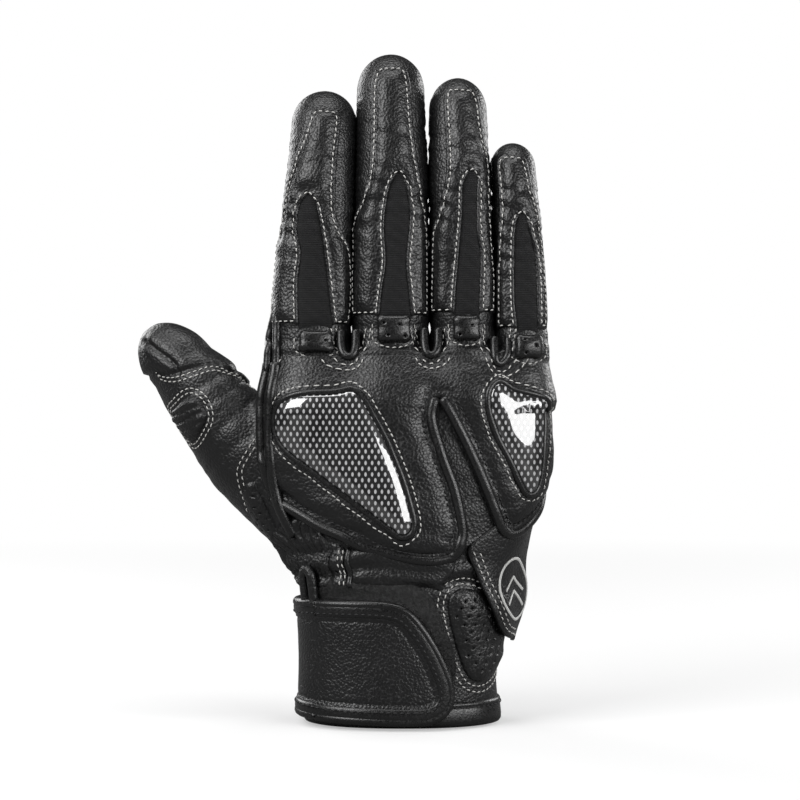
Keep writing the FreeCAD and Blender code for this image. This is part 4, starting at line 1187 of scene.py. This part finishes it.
def back_panel():
    """The padded overlay: two lobes and a deep notch, fading into the leather at the finger bases."""
    left, right = (HAND.seen(curve(lobe, closed=False)) for lobe in (LEFT_LOBE, RIGHT_LOBE))
    tail = right[-1] + (np.array([68, 88]) - right[-1]) * np.linspace(0.06, 1, 16)[:, None]
    right = np.vstack([right, tail])
    hem = np.vstack([left, right])
    thumb_side = HAND.seen(curve(LEFT_ROLLS[0], closed=False))[::-1]
    top = curve([(72, 136.6), thumb_side[0]], closed=False, spacing=2)
    outline = np.vstack([hem, [(72, 96), (72, 116)], top, thumb_side[1:]])

    def height(d, x, z):
        edge = edge_distance(np.stack([x, z], 1), hem, closed=False)
        fade = panel_fade(x, z)
        groove = 0.6 * np.exp(-((edge - 3.4) / 0.7) ** 2)
        down = smooth_step(0, 1.6, edge)
        body = shoulder(edge, PANEL_THICK, run=1.6, sunk=0.3)
        return (body + (panel_rise(x, z, edge) - PANEL_THICK - groove) * down) * fade - 0.25 * (1 - fade)

    panel = sheet("back_panel_leather", HAND.surface, outline, height, PANEL, grid=1.2)
    on_hand(panel, "soft_leather")
    for index, lobe in enumerate((left, right)):
        p, n = on_surface(HAND.surface, lobe, 1.35)
        roll = cord(f"back_panel_cord_{index}", p, n, 2.1, TRIM, sides=16)
        on_hand(roll, "smooth_trim", "back_panel_piping")
    seam = [inner_line(left, outline, 3.3), inner_line(right, outline, 3.3)]
    dark = stitches("back_panel_seam", HAND.surface, seam, PANEL_THICK - 0.1, BLACK_THREAD, radius=0.3)
    on_hand(dark, "soft_leather")
    rows = []
    for cx, low in CROTCHES:
        for step in (0, 1.9):
            r = 4.4 + step
            foot = low - 4.6 - step
            rows.append(curve([(cx - r - 1.6, foot + 11), (cx - r, foot + 6), (cx - r * 0.72, foot + 1.8),
                               (cx, foot),
                               (cx + r * 0.72, foot + 1.8), (cx + r, foot + 6), (cx + r + 1.6, foot + 11)],
                              closed=False))
    rows.append(curve([(-39.5, 137), (-42.6, 133), (-45.4, 128.6)], closed=False))
    rows.append(curve([(-41.6, 137.4), (-44.2, 134), (-46.8, 130)], closed=False))
    trimmed = [HAND.flat(r[r[:, 1] < 137]) for r in rows]

    def row_height(middle):
        x, z = middle.T
        fade = panel_fade(x, z)
        return panel_rise(x, z, np.full(len(x), 20.0)) * fade - 0.25 * (1 - fade) + 0.12

    white = stitches("notch_stitches", HAND.surface, trimmed, row_height, WHITE_THREAD)
    on_hand(white, "soft_leather")
    for gap, (cx, low) in enumerate(CROTCHES):
        for side, finger in ((-1, FINGERS[gap]), (1, FINGERS[gap + 1])):
            shell = FINGER[finger]
            for step in (0, 1.9):
                r = 4.4 + step
                line = [(cx + side * r, 138.4), (cx + side * (r + 0.5), 143), (cx + side * (r + 1.2), 148)]
                column = stitches(f"notch_column_{gap}_{finger}_{r:.0f}", shell.surface,
                                  [shell.flat(curve(line, closed=False))], 0.15, WHITE_THREAD)
                at_knuckle(column, finger, "soft_leather")


def smooth_place(u, z):
    """The hand's surface without its small unevenness, for hard shells and straps."""
    kept, HAND.bumps = HAND.bumps, []
    result = HAND.surface(u, z)
    HAND.bumps = kept
    return result


def guard(name, outline_points, node, rise):
    """A domed carbon shell in a thick leather rim, with a row of stitches round it."""
    outline = HAND.flat(curve(outline_points, spacing=0.9))
    base = PANEL_THICK + 0.9

    def height(d, x, z):
        t = np.clip(d / 6.5, 0, 1)
        dome = np.sqrt(np.maximum(1 - (1 - t) ** 2, 0))
        return base - 0.8 + rise * (0.25 * smooth_step(0, 0.5, d) + 0.75 * dome)

    shell = sheet(name, smooth_place, outline, height, CARBON, grid=1.2, rings=(0.12, 0.3, 0.6, 1.1, 1.8))
    on_hand(shell, "carbon_shell", node)
    rim = cord(f"{name}_rim", *on_surface(smooth_place, offset_outward(outline, 0.5), base + 0.1), 1.25, TRIM,
               closed=True, sides=14)
    on_hand(rim, "smooth_trim")
    row = closed_row(offset_outward(outline, 3.0))
    white = stitches(f"{name}_stitches", HAND.surface, [row],
                     lambda m: panel_rise(m[:, 0], m[:, 1], np.full(len(m), 20.0)) + 0.1, WHITE_THREAD)
    on_hand(white, "soft_leather")


def crotch_loops():
    """Folded leather round the foot of each gap between fingers."""
    for index, (cx, low) in enumerate(CROTCHES):
        line = curve([(cx - 2.6, low + 8.5), (cx - 2.5, low + 3), (cx - 1.7, low - 0.2), (cx, low - 1.2),
                      (cx + 1.7, low - 0.2), (cx + 2.5, low + 3), (cx + 2.6, low + 8.5)], closed=False,
                      spacing=0.7)
        over = np.maximum(line[:, 1] - 137, 0)
        p, n = on_surface(HAND.surface, HAND.flat(np.minimum(line, (999, 137))), 0.2)
        p[:, 2] = line[:, 1]
        p[:, 1] += over * 0.5
        roll = cord(f"crotch_loop_{index}", p, n, 1.55, TRIM, sides=12)
        on_hand(roll, "smooth_trim", "web_rolls")


def side_rolls():
    """Rolled seams down the two edges of the hand; the thumb side's pair runs on up the first finger."""
    for row, points in enumerate(LEFT_ROLLS):
        path = HAND.seen(curve(points, closed=False))
        seat = 0.6 + 2.0 * smooth_step(134, 121, path[:, 1:]) * smooth_step(70, 84, path[:, 1:])
        seat = seat - 1.6 * smooth_step(98, 88, path[:, 1:]) * (1 - row)
        roll = cord(f"side_roll_0_{row}", *on_surface(HAND.surface, path, seat + 0.2), 2.15, TRIM, sides=14)
        on_hand(roll, "smooth_trim", "side_pipings")
        shell = FINGER["index"]
        points = [(-48.2 + 2.6 * row, 131), (-47.8 + 2.4 * row, 138), (-47.4 + 2 * row, 145),
                  (-46.8 + row, 153)]
        path = shell.seen(curve(points, closed=False))
        stand = (1.7 - 0.9 * row) * smooth_step(155, 143, path[:, 1:])
        up = cord(f"side_roll_up_{row}", *on_surface(shell.surface, path, stand), 1.7, TRIM, sides=12)
        at_knuckle(up, "index", "smooth_trim")
    for row, shift in enumerate((-0.4, 3.0)):
        z = np.arange(83, 134, 1.5)
        u = HAND.x(z) + HAND.half(z) * 0.5 - shift
        sink = 3.0 * smooth_step(122, 132, z)[:, None]
        roll = cord(f"side_roll_1_{row}", *on_surface(HAND.surface, np.stack([u, z], 1), 0.5 - sink), 1.6,
                    TRIM)
        on_hand(roll, "smooth_trim", "side_pipings")


# ------------------------------------------------------------------ wrist


def cuff():
    """The bound hem: a rolled edge, a stitched groove and a flat band round the rim."""
    profile = [(9.4, -0.6), (9.2, 0.5), (8.7, 1.0), (7.9, 1.1), (7.2, 0.75), (6.6, 1.0), (3.2, 1.2),
               (1.2, 1.1),
               (0.35, 0.5), (0.05, -0.6), (0.25, -1.9), (1.1, -2.7), (3, -2.9), (8, -2.9), (9, -2.2)]
    count = 300
    rows = []
    for z, off in reversed(profile):
        height = np.full(count, z)
        u = HAND.x(height) + np.linspace(-1, 1, count, endpoint=False) * HAND.half(height)
        p, n = smooth_place(u, height)
        n[:, 2] = 0
        n /= np.linalg.norm(n, axis=1)[:, None]
        p += n * off
        p[:, 2] = z
        rows.append(p)
    band = add_mesh("cuff_hem", np.vstack(rows), grid_faces(len(profile), count), TRIM)
    on_hand(band, "smooth_trim", "cuff_binding")
    reach = float(HAND.half(np.array([7.2]))[0])
    x = np.linspace(-reach, reach, 260)
    row = stitches("cuff_stitches", HAND.surface, [np.stack([x, np.full(len(x), 7.2)], 1)], 0.95,
                   BLACK_THREAD,
                   radius=0.26)
    on_hand(row, "smooth_trim")


STRAP_EDGE = [
    (-92, 4.4), (-60, 4.2), (-40, 4.0), (-20, 3.4), (6, 2.8), (12.4, 4), (16.2, 7), (17.6, 11.6),
    (17.2, 16.4),
    (15.2, 22.3), (11.8, 29.8), (7, 37.6), (2.4, 42.6), (-3.6, 44.8), (-12, 45.4), (-30, 45.4), (-40, 45.2),
    (-60, 44.8), (-92, 43.6),
]
STRAP_LOW, STRAP_HIGH = 1.7, 3.6


def drop_loose(obj):
    """Removes the points of a mesh that no face uses."""
    mesh = bmesh.new()
    mesh.from_mesh(obj.data)
    bmesh.ops.delete(mesh, geom=[v for v in mesh.verts if not v.link_faces], context="VERTS")
    mesh.to_mesh(obj.data)
    mesh.free()


def strap():
    """The wrist strap: pebbled leather inside a flat band and a rolled edge."""
    edge = curve(STRAP_EDGE, closed=False, spacing=1.0)
    front = edge[:, 0] > -30
    edge[front] = HAND.flat(edge[front])
    straight = curve([(-92, 43.6), (-92, 4.4)], closed=False, spacing=1.5)
    outline = np.vstack([edge, straight[1:-1]])

    def over(d, x, z):
        p = np.stack([x, np.zeros(len(x)), z], 1)
        band = 0.45 * smooth_step(6.2, 5.4, d)
        seam = 0.4 * np.exp(-((d - 5.9) / 0.45) ** 2) + 0.35 * np.exp(-((d - 2.9) / 0.5) ** 2)
        return STRAP_HIGH + band - seam + 0.05 * ripple(p)

    body = sheet("strap_leather", smooth_place, outline, over, COARSE, grid=1.3, under=lift(STRAP_LOW),
                 rings=(0.5, 1.2, 2.4, 2.9, 3.4, 5.4, 5.9, 6.4))
    drop_loose(body)
    roll = cord("strap_edge_roll", *on_surface(smooth_place, edge, 2.95), 1.75, TRIM, sides=14)
    fold = inner_line(edge, outline, 2.2)
    band = cord("strap_edge_band", *on_surface(smooth_place, fold, STRAP_HIGH + 0.15), 2.5, TRIM,
                sides=14, flat=0.34)
    dark = stitches("strap_stitches", smooth_place, [inner_line(edge, outline, 3.4)], STRAP_HIGH + 0.85,
                    BLACK_THREAD,
                    radius=0.3)
    hook = sheet("strap_hook", smooth_place, rounded_box(-9, 22, 14, 10, 3), lift(STRAP_LOW - 0.05), PILE,
                 grid=2.2,
                 under=lift(0.95), rings=())
    on_strap(body, "coarse_leather", "wrist_strap", "strap_anchor")
    on_strap(roll, "smooth_trim", "strap_binding")
    on_strap(band, "smooth_trim")
    on_strap(dark, "coarse_leather")
    on_strap(hook, "hook_and_loop", "strap_hook_pad")


def loop_field():
    outline = HAND.flat(curve([(-30, 14), (14, 10), (19.6, 16), (20.4, 26), (16.2, 38), (12, 47.4), (6, 52.4),
                               (-4, 53.6), (-30, 52.8)], spacing=1.2))

    def height(d, x, z):
        tufts = 0.22 * np.sin(x * 5.1 + 2 * np.sin(z * 3.7)) * np.sin(z * 4.3)
        return shoulder(d, 0.95) + tufts

    patch = sheet("loop_field", HAND.surface, outline, height, PILE, grid=0.9)
    on_hand(patch, "hook_and_loop", "loop_patch")


def wrist_pad():
    """The perforated pad beside the strap, double-stitched round."""
    shape = curve([(18.2, 48.6), (22, 51), (26.4, 50.8), (31, 48), (36.2, 43), (37.4, 34), (37.2, 24),
                   (35.4, 19.6),
                   (32, 17), (28.4, 16.3), (24.8, 18.6), (21.9, 25), (19.1, 35), (17.6, 43)], spacing=1.0)
    outline = HAND.flat(shape)
    holes = []
    for row in range(10):
        for column in range(7):
            holes.append((17.5 + column * 4.1 + (row % 2) * 2.05 + (9 - row) * 0.5, 20.6 + row * 2.9, 0.45))
    spots = np.array([(x, z) for x, z, r in holes])
    keep = inside(spots, outline) & (edge_distance(spots, outline) > 2.4)
    holes = [h for h, k in zip(holes, keep) if k]

    def height(d, x, z):
        return shoulder(d, 1.5, run=1.6) + 1.5 * smooth_step(0.8, 5.5, d)

    pad = sheet("wrist_pad", HAND.surface, outline, height, PANEL, grid=1.15, holes=holes, rings=(0.2, 0.6))
    on_hand(pad, "soft_leather", "wrist_pad_cover")
    rows = [closed_row(offset_outward(outline, 1.6)), closed_row(offset_outward(outline, 3.8))]
    white = stitches("wrist_pad_stitches", HAND.surface, rows, 0.1, WHITE_THREAD)
    on_hand(white, "soft_leather")


def side_tab():
    """The hanging pointed tab at the little finger's side of the wrist."""
    lean = [(24.8, 65.6), (27.4, 57.5), (30.2, 46.8), (32.6, 37.2)]
    outline = HAND.flat(curve(lean + [(34.4, 33.4), (37.6, 30.6), (39.6, 31.4), (41.5, 37), (43.5, 46),
                                      (46, 56),
                                      (50, 66), (54, 76), (52, 80), (44, 78), (37, 75.4), (30.6, 71)],
                                      spacing=1.0))

    def top(z):
        """The tab comes out from under the back panel and lies over the wrist pad."""
        return 1.6 + 4.7 * smooth_step(64, 39, z)

    tab = sheet("side_tab_leather", smooth_place, outline, lambda d, x,
                z: top(z) - 0.4 * smooth_step(0.7, 0, d), PANEL,
                grid=1.3, under=lambda d, x, z: top(z) - 1.6, rings=(0.25, 0.7))
    left = HAND.flat(curve(lean + [(34.4, 33.4), (37.4, 30.8)], closed=False))
    rows = [inner_line(left, outline, 1.6), inner_line(left, outline, 3.8)]
    white = stitches("side_tab_stitches", smooth_place, rows, lambda middle: top(middle[:, 1]) + 0.05,
                     WHITE_THREAD)
    on_tab(tab, "soft_leather", "side_tab")
    on_tab(white, "soft_leather")
    turn = np.linspace(0, 2 * np.pi, 60, endpoint=False)
    cx, cz = 46.4, 50.6
    shapes = [("ring", np.stack([cx + 9.6 * np.cos(turn), cz + 11.4 * np.sin(turn)], 1), True)]
    for index, shift in enumerate((-3.2, 2.2)):
        line = [(cx - 6, cz + shift - 2.6), (cx, cz + shift + 2.6), (cx + 6, cz + shift - 2.6)]
        shapes.append((f"chevron_{index}", curve(line, closed=False, spacing=0.5, tension=0.05), False))
    for label, line, closed in shapes:
        p, n = on_surface(smooth_place, line, top(line[:, 1:]) + 0.05)
        raised = cord(f"tab_emblem_{label}", p, n, 0.62, PRINT, closed=closed, flat=0.5)
        on_tab(raised, "white_print", *(["tab_emblem"] if closed else []))


def pull_loop():
    """An inverted U of folded leather standing out of the strap's upper edge."""
    low, high = (np.array(corner) / MM + (3.4, 0, 0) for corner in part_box("pull_loop"))
    middle = (low + high) / 2
    across, out = np.array([0.616, -0.788, 0]), np.array([-0.788, -0.616, 0])
    foot = np.array([middle[0], middle[1], low[2] - 4]) - out * 0.8
    u = curve([(-2.6, 0), (-2.6, 8), (-2.2, 11.2), (0, 13.2), (2.2, 11.2), (2.6, 8), (2.6, 0)], closed=False,
              spacing=0.7)
    path = foot + across * u[:, :1] + np.array([0, 0, 1]) * u[:, 1:] + out * u[:, 1:] * 0.14
    band = cord("pull_loop_band", path, np.tile(out, (len(path), 1)), 1.9, SOFT, sides=16, flat=0.9)
    stand_for(["pull_loop"])
    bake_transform(band)


def swell(obj, loose, pressure, most):
    """Blows a closed pad up with cloth pressure: sewn down where loose is 0, and moving at most most mm.

    The cloth runs on a copy fifty times the size, where the solver's steps suit it.
    """
    big = 50.0
    copy = obj.copy()
    copy.data = obj.data.copy()
    bpy.context.scene.collection.objects.link(copy)
    count = len(copy.data.vertices)
    start = np.empty(count * 3)
    copy.data.vertices.foreach_get("co", start)
    copy.data.vertices.foreach_set("co", start * big)
    sewn = copy.vertex_groups.new(name="sewn")
    for index, value in enumerate(loose):
        sewn.add([index], float(1 - value), "REPLACE")
    cloth = copy.modifiers.new("cloth", "CLOTH")
    cloth.settings.vertex_group_mass = "sewn"
    cloth.settings.use_pressure = True
    cloth.settings.uniform_pressure_force = pressure
    cloth.settings.effector_weights.gravity = 0
    cloth.settings.quality = 5
    cloth.collision_settings.use_collision = False
    for step in range(1, 21):
        bpy.context.scene.frame_set(step)
    result = copy.evaluated_get(bpy.context.evaluated_depsgraph_get()).to_mesh()
    end = np.empty(count * 3)
    result.vertices.foreach_get("co", end)
    move = (end / big - start).reshape(-1, 3)
    size = np.linalg.norm(move, axis=1)
    move *= (np.minimum(size, most * MM) / np.maximum(size, 1e-9))[:, None]
    obj.data.vertices.foreach_set("co", (start.reshape(-1, 3) + move).ravel())
    obj.data.update()
    bpy.context.scene.frame_set(1)
    bpy.data.objects.remove(copy)


def padded_folds():
    """Two soft rolls across the back of the wrist, between the strap and the back panel."""
    outline = HAND.flat(curve([(-18.6, 66.5), (-19.2, 60), (-18.4, 53.2), (-12, 51.8), (2, 51.6), (10, 51.4),
                               (15.4, 50.4), (17.6, 54), (20.6, 60), (23.4, 66), (14, 67), (2, 67.4),
                               (-10, 69.6)],
                              spacing=1.0))

    def valley(x, z):
        return np.abs(z - 58.4 + 0.05 * (x - 2) + 0.7 * np.sin(x * 0.16))

    def height(d, x, z):
        p = np.stack([x, np.zeros(len(x)), z], 1)
        fold = smooth_step(0, 3.4, valley(x, z))
        return shoulder(d, 0.7, run=1.4, sunk=0.5) + 1.5 * fold * smooth_step(0, 3,
                d) + 0.15 * ripple(p * 1.5)

    pad = sheet("wrist_fold_pad", HAND.surface, outline, height, SOFT, grid=1.1, under=lift(-0.6),
                rings=(0.3, 0.9))
    co = np.array([v.co for v in pad.data.vertices]) / MM
    spots = HAND.unrolled(co)
    d = edge_distance(spots, outline)
    half = len(co) // 2
    loose = smooth_step(0.6, 2.4, d) * smooth_step(0.4, 2.0, valley(*spots.T))
    loose[half:] = 0
    swell(pad, loose, 4.0, 1.3)
    on_hand(pad, "soft_leather")


def gathers():
    """Shirred leather between the strap and the back panel, and a small vented patch beside it."""
    outline = HAND.flat(curve([(-41.5, 76), (-41.2, 66), (-39, 56), (-37.6, 50.5), (-30, 50.2),
                               (-25.4, 51), (-25, 58),
                               (-25.6, 66), (-28, 72.5), (-34, 77)], spacing=1.0))

    def height(d, x, z):
        fan = np.arctan2(z - 46, x + 33) * 19
        wave = np.sin(fan * 1.25 + 1.1 * np.sin(z * 0.5))
        return -0.1 + (1.5 * np.abs(wave) ** 0.7 + 0.4) * smooth_step(0, 2, d)

    panel = sheet("shirred_wrist_leather", HAND.surface, outline, height, SOFT, grid=0.75, rings=(0.4,))
    on_hand(panel, "soft_leather", "shirred_wrist_panel")
    patch = HAND.flat(curve([(-26, 67), (-25.8, 58), (-25.2, 51.6), (-20, 51.6), (-19.6, 58), (-20.2, 64.6),
                             (-22.4, 67.4)], spacing=0.9))
    small = sheet("vented_wrist_patch", HAND.surface, patch, lambda d, x,
                  z: shoulder(d, 1.0) + 0.4 * smooth_step(1, 3, d),
                  PANEL, grid=1.0, holes=[(x, z, 0.42) for x,
                                          z in HAND.flat([(-23.6, 63), (-23.4, 57.6)])], rings=(0.3,))
    on_hand(small, "soft_leather")
    edge = HAND.flat(curve([(-20.9, 65.6), (-20.4, 60), (-20.3, 55), (-20, 51.8)], closed=False))
    rows = [edge - (0.2, 0), edge - (1.8, 0)]
    white = stitches("vented_patch_stitches", HAND.surface, rows, 1.3, WHITE_THREAD)
    on_hand(white, "soft_leather")
    roll = cord("wrist_fold_roll", *on_surface(HAND.surface, edge + (1.6, 0), 0.6), 1.1, TRIM)
    on_hand(roll, "smooth_trim")


def gusset():
    """The pin-holed strip between the thumb and the back panel."""
    outline = HAND.seen(curve([(-40.6, 51), (-42.4, 60), (-44.6, 70), (-49.6, 82), (-53.4, 92), (-54.6, 101),
                               (-57.4, 99), (-60, 92.6), (-57.4, 80.6), (-52, 69.4), (-46, 60), (-42.6, 52)],
                              spacing=1.2))
    low = smooth_step(80, 70, outline[:, 1])
    side = HAND.x(outline[:, 1]) - HAND.half(outline[:, 1]) * 0.5 - 1
    outline[:, 0] = np.maximum(outline[:, 0], side - 40 * (1 - low))
    spots = []
    for row in range(22):
        for column in range(-26, 26):
            spots.append((column * 2.4 + (row % 2) * 1.2 - 60, 49 + row * 2.1))
    spots = np.array(spots)
    spots = spots[inside(spots, outline) & (edge_distance(spots, outline) > 1.5)]
    strip = sheet("gusset_leather", HAND.surface, outline, lambda d, x,
                  z: shoulder(d, 0.9) + 0.5 * smooth_step(1, 4, d),
                  SOFT, grid=1.2, holes=[(x, z, 0.36) for x, z in spots], rings=(0.3,))
    on_hand(strip, "soft_leather", "thumb_gusset")


# ------------------------------------------------------------------ palm


def palm_patches():
    """The palm's patches: a heel pad swelled by cloth pressure, and a grip patch under the fingers."""
    for name, node, points, thick, soft in (
        ("palm_heel_pad", "palm_heel_patch", [(3, 30), (14, 27), (26, 30), (32, 44), (34.6, 60), (33, 74),
                                              (26, 82),
                                              (16, 80), (6, 70), (1.6, 50)], 1.5, True),
        ("palm_grip_leather", "palm_grip_patch", [(-36, 104), (-20, 100.4), (8, 101), (34, 104),
                                                  (44, 112), (47, 121),
                                                  (44, 131.6), (20, 133), (-12, 133), (-40, 132), (-44, 122),
                                                  (-42, 111)], 1.1, False),
    ):
        outline = HAND.flat(curve(points, spacing=1.2))

        def height(d, x, z):
            p = np.stack([x, np.zeros(len(x)), z], 1)
            groove = 0.4 * np.exp(-((d - 2.2) / 0.6) ** 2)
            return shoulder(d, thick, run=1.4) + 0.3 * smooth_step(2, 6, d) - groove + 0.25 * ripple(p * 1.3)

        under = lift(-0.8) if soft else None
        patch = sheet(name, HAND.palm_surface, outline, height, SUEDE, grid=1.3, under=under)
        if soft:
            half = len(patch.data.vertices) // 2
            co = np.array([v.co for v in patch.data.vertices]) / MM
            spots = HAND.unrolled(co * (1, -1, 1) + (0, 2, 0) * HAND.y(co[:, 2])[:, None])
            loose = smooth_step(2.4, 5, edge_distance(spots, outline))
            loose[half:] = 0
            swell(patch, loose, 4.0, 2.2)
        on_hand(patch, "palm_suede", node)
        row = closed_row(inner_line(outline, outline, 2.2))
        dark = stitches(f"{name}_stitches", HAND.palm_surface, [row], thick - 0.05, BLACK_THREAD, radius=0.3)
        on_hand(dark, "palm_suede")


# ------------------------------------------------------------------ thumb


def thumb():
    start, height = THUMB.dome
    split_low, split_high = -18, 13.5
    root = tube_skin("thumb_root_skin", THUMB, np.arange(-52, split_low + 0.1, 1.0), 160, SOFT)
    on_hand(root, "soft_leather", "thumb_root_panel")
    lower_z = np.concatenate([np.arange(split_low, split_high, 0.7), [split_high]])
    lower = tube_skin("thumb_lower_skin", THUMB, lower_z, 190, SOFT)
    on_thumb(lower, "base", "thumb_side_walls", "thumb_palm_face", "thumb_back_panel")
    dome = start + height * np.sin(np.radians(np.linspace(0, 88, 18)))
    upper_z = np.concatenate([np.arange(split_high, start - 0.4, 0.6), dome])
    upper = tube_skin("thumb_upper_skin", THUMB, upper_z, 190, SOFT, close_top=True)
    on_thumb(upper, "tip", "thumb_tip_cap", "thumb_tip_overlay")

    seam = THUMB.from_view(*curve(THUMB_SEAM, closed=False).T)
    seam = seam[np.argsort(seam[:, 0])]
    rows = stitches("thumb_cap_stitches", THUMB.surface, [seam - (0, 2.2), seam - (0, 3.9)], 0.12,
                    WHITE_THREAD)
    on_thumb(rows, "tip")

    arch = THUMB.from_view(*curve([(-86.6, 115.5), (-84.6, 118.6), (-79.6, 122.4), (-75.4, 120.6),
                                   (-72.8, 116),
                                   (-73.2, 111.8), (-77.6, 105.4), (-80.4, 106.4)]).T)
    middle = arch.mean(0)

    def ribs(d, x, z):
        along = (x - middle[0]) * 0.25 + (z - middle[1])
        return shoulder(d, 0.9) + 1.0 * np.abs(np.sin(along * 0.95)) ** 0.8 * smooth_step(0.3, 1.6, d)

    gather = sheet("thumb_gather", THUMB.surface, arch, ribs, SOFT, grid=0.8, rings=(0.3,))
    on_thumb(gather, "tip", "thumb_knuckle_gather")
    rings = [closed_row(offset_outward(arch, 1.0)), closed_row(offset_outward(arch, 2.7))]
    white = stitches("thumb_gather_stitches", THUMB.surface, rings, 0.1, WHITE_THREAD)
    on_thumb(white, "tip")

    web = curve([(-53.4, 107.4), (-57, 102), (-60.6, 94.9), (-59.8, 89), (-58.3, 84), (-56.6, 78.6)],
                closed=False)
    lines = [THUMB.from_view(*offset_curve(web, step, closed=False).T) for step in (0, 1.8)]
    row = stitches("thumb_web_stitches", THUMB.surface, lines, 0.12, WHITE_THREAD)
    on_thumb(row, "base")


# ------------------------------------------------------------------ build

hand_skin()
for finger in FINGERS:
    finger_skins(finger)
    finger_overlays(finger)
back_panel()
guard("large_guard_shell", GUARD_LARGE, "large_knuckle_guard", 3.6)
guard("small_guard_shell", GUARD_SMALL, "small_knuckle_guard", 3.2)
crotch_loops()
side_rolls()
cuff()
loop_field()
strap()
wrist_pad()
side_tab()
pull_loop()
padded_folds()
gathers()
gusset()
palm_patches()
thumb()

# ------------------------------------------------------------------ studio


BACKDROP = 1.0
CAMERA_BACK = 0.8        # metres in front of the back of the hand
CAMERA_UP = 0.1207
LIGHTS = (               # name, place, power, width, height
    ("key", (-0.62, -0.52, 0.66), 7.0, 0.60, 0.60),
    ("fill", (0.74, -0.62, 0.37), 6.0, 0.90, 0.36),
    ("top", (0.0, -0.10, 1.1), 4.4, 0.8, 0.4),
    ("behind", (-0.62, 0.66, 0.5), 5.0, 0.6, 0.6),
    ("behind_right", (0.7, 0.62, 0.45), 4.0, 0.6, 0.4),
)


def studio_floor():
    """A pale floor that glows more and more with distance, for the camera only, into a white backdrop."""
    bpy.ops.mesh.primitive_plane_add(size=12, location=(0, 0, -0.0005))
    floor = bpy.context.object
    floor.name = "studio_floor"
    surface = Surface("studio_floor")
    camera_ray = surface.add("LightPath", {}).outputs["Is Camera Ray"]
    far = surface.add("VectorMath", {0: surface.place}, operation="LENGTH")
    fade = surface.add("MapRange", {"Value": far.outputs["Value"], "From Min": 0.25, "From Max": 1.1,
                                    "To Min": 0.45},
                       interpolation_type="SMOOTHSTEP")
    shade = surface.add("MixRGB", {0: camera_ray, 1: (0.2, 0.2, 0.2, 1), 2: (0.86, 0.86, 0.86, 1)})
    surface.finish({"Base Color": shade.outputs[0], "Roughness": 0.9, "Specular IOR Level": 0.0})
    glow = surface.add("Emission", {0: (1, 1, 1, 1), 1: BACKDROP})
    blend = surface.add("MixShader", {
        0: surface.maths("MULTIPLY", fade.outputs[0], camera_ray), 1: surface.shader.outputs[0],
        2: glow.outputs[0]})
    surface.fill(surface.nodes["Material Output"], {0: blend.outputs[0]})
    floor.data.materials.append(surface.material)


def studio_world():
    """A dim world that the camera sees as white."""
    world = bpy.data.worlds.new("studio")
    world.use_nodes = True
    nodes, links = world.node_tree.nodes, world.node_tree.links
    dim, bright = nodes["Background"], nodes.new("ShaderNodeBackground")
    for background, strength in ((dim, 0.06), (bright, BACKDROP)):
        background.inputs[0].default_value = (1, 1, 1, 1)
        background.inputs[1].default_value = strength
    mix = nodes.new("ShaderNodeMixShader")
    links.new(nodes.new("ShaderNodeLightPath").outputs["Is Camera Ray"], mix.inputs[0])
    links.new(dim.outputs[0], mix.inputs[1])
    links.new(bright.outputs[0], mix.inputs[2])
    links.new(mix.outputs[0], nodes["World Output"].inputs[0])
    bpy.context.scene.world = world


def studio_lights():
    """Soft boxes left, right, over and behind, all turned to the middle of the glove."""
    middle = Vector((0, 0, 0.12))
    for name, place, power, wide, tall in LIGHTS:
        data = bpy.data.lights.new(name, "AREA")
        data.energy = power
        data.shape = "RECTANGLE"
        data.size, data.size_y = wide, tall
        lamp = bpy.data.objects.new(name, data)
        lamp.location = place
        lamp.rotation_euler = (middle - Vector(place)).to_track_quat("-Z", "Y").to_euler()
        bpy.context.scene.collection.objects.link(lamp)


def studio_camera():
    data = bpy.data.cameras.new("camera")
    data.lens = 95.1
    data.sensor_width = 36
    camera = bpy.data.objects.new("camera", data)
    camera.location = (0, -CAMERA_BACK, CAMERA_UP)
    camera.rotation_euler = (math.pi / 2, 0, 0)
    bpy.context.scene.collection.objects.link(camera)
    bpy.context.scene.camera = camera
    bpy.context.scene.view_settings.view_transform = "Standard"


studio_floor()
studio_world()
studio_lights()
studio_camera()
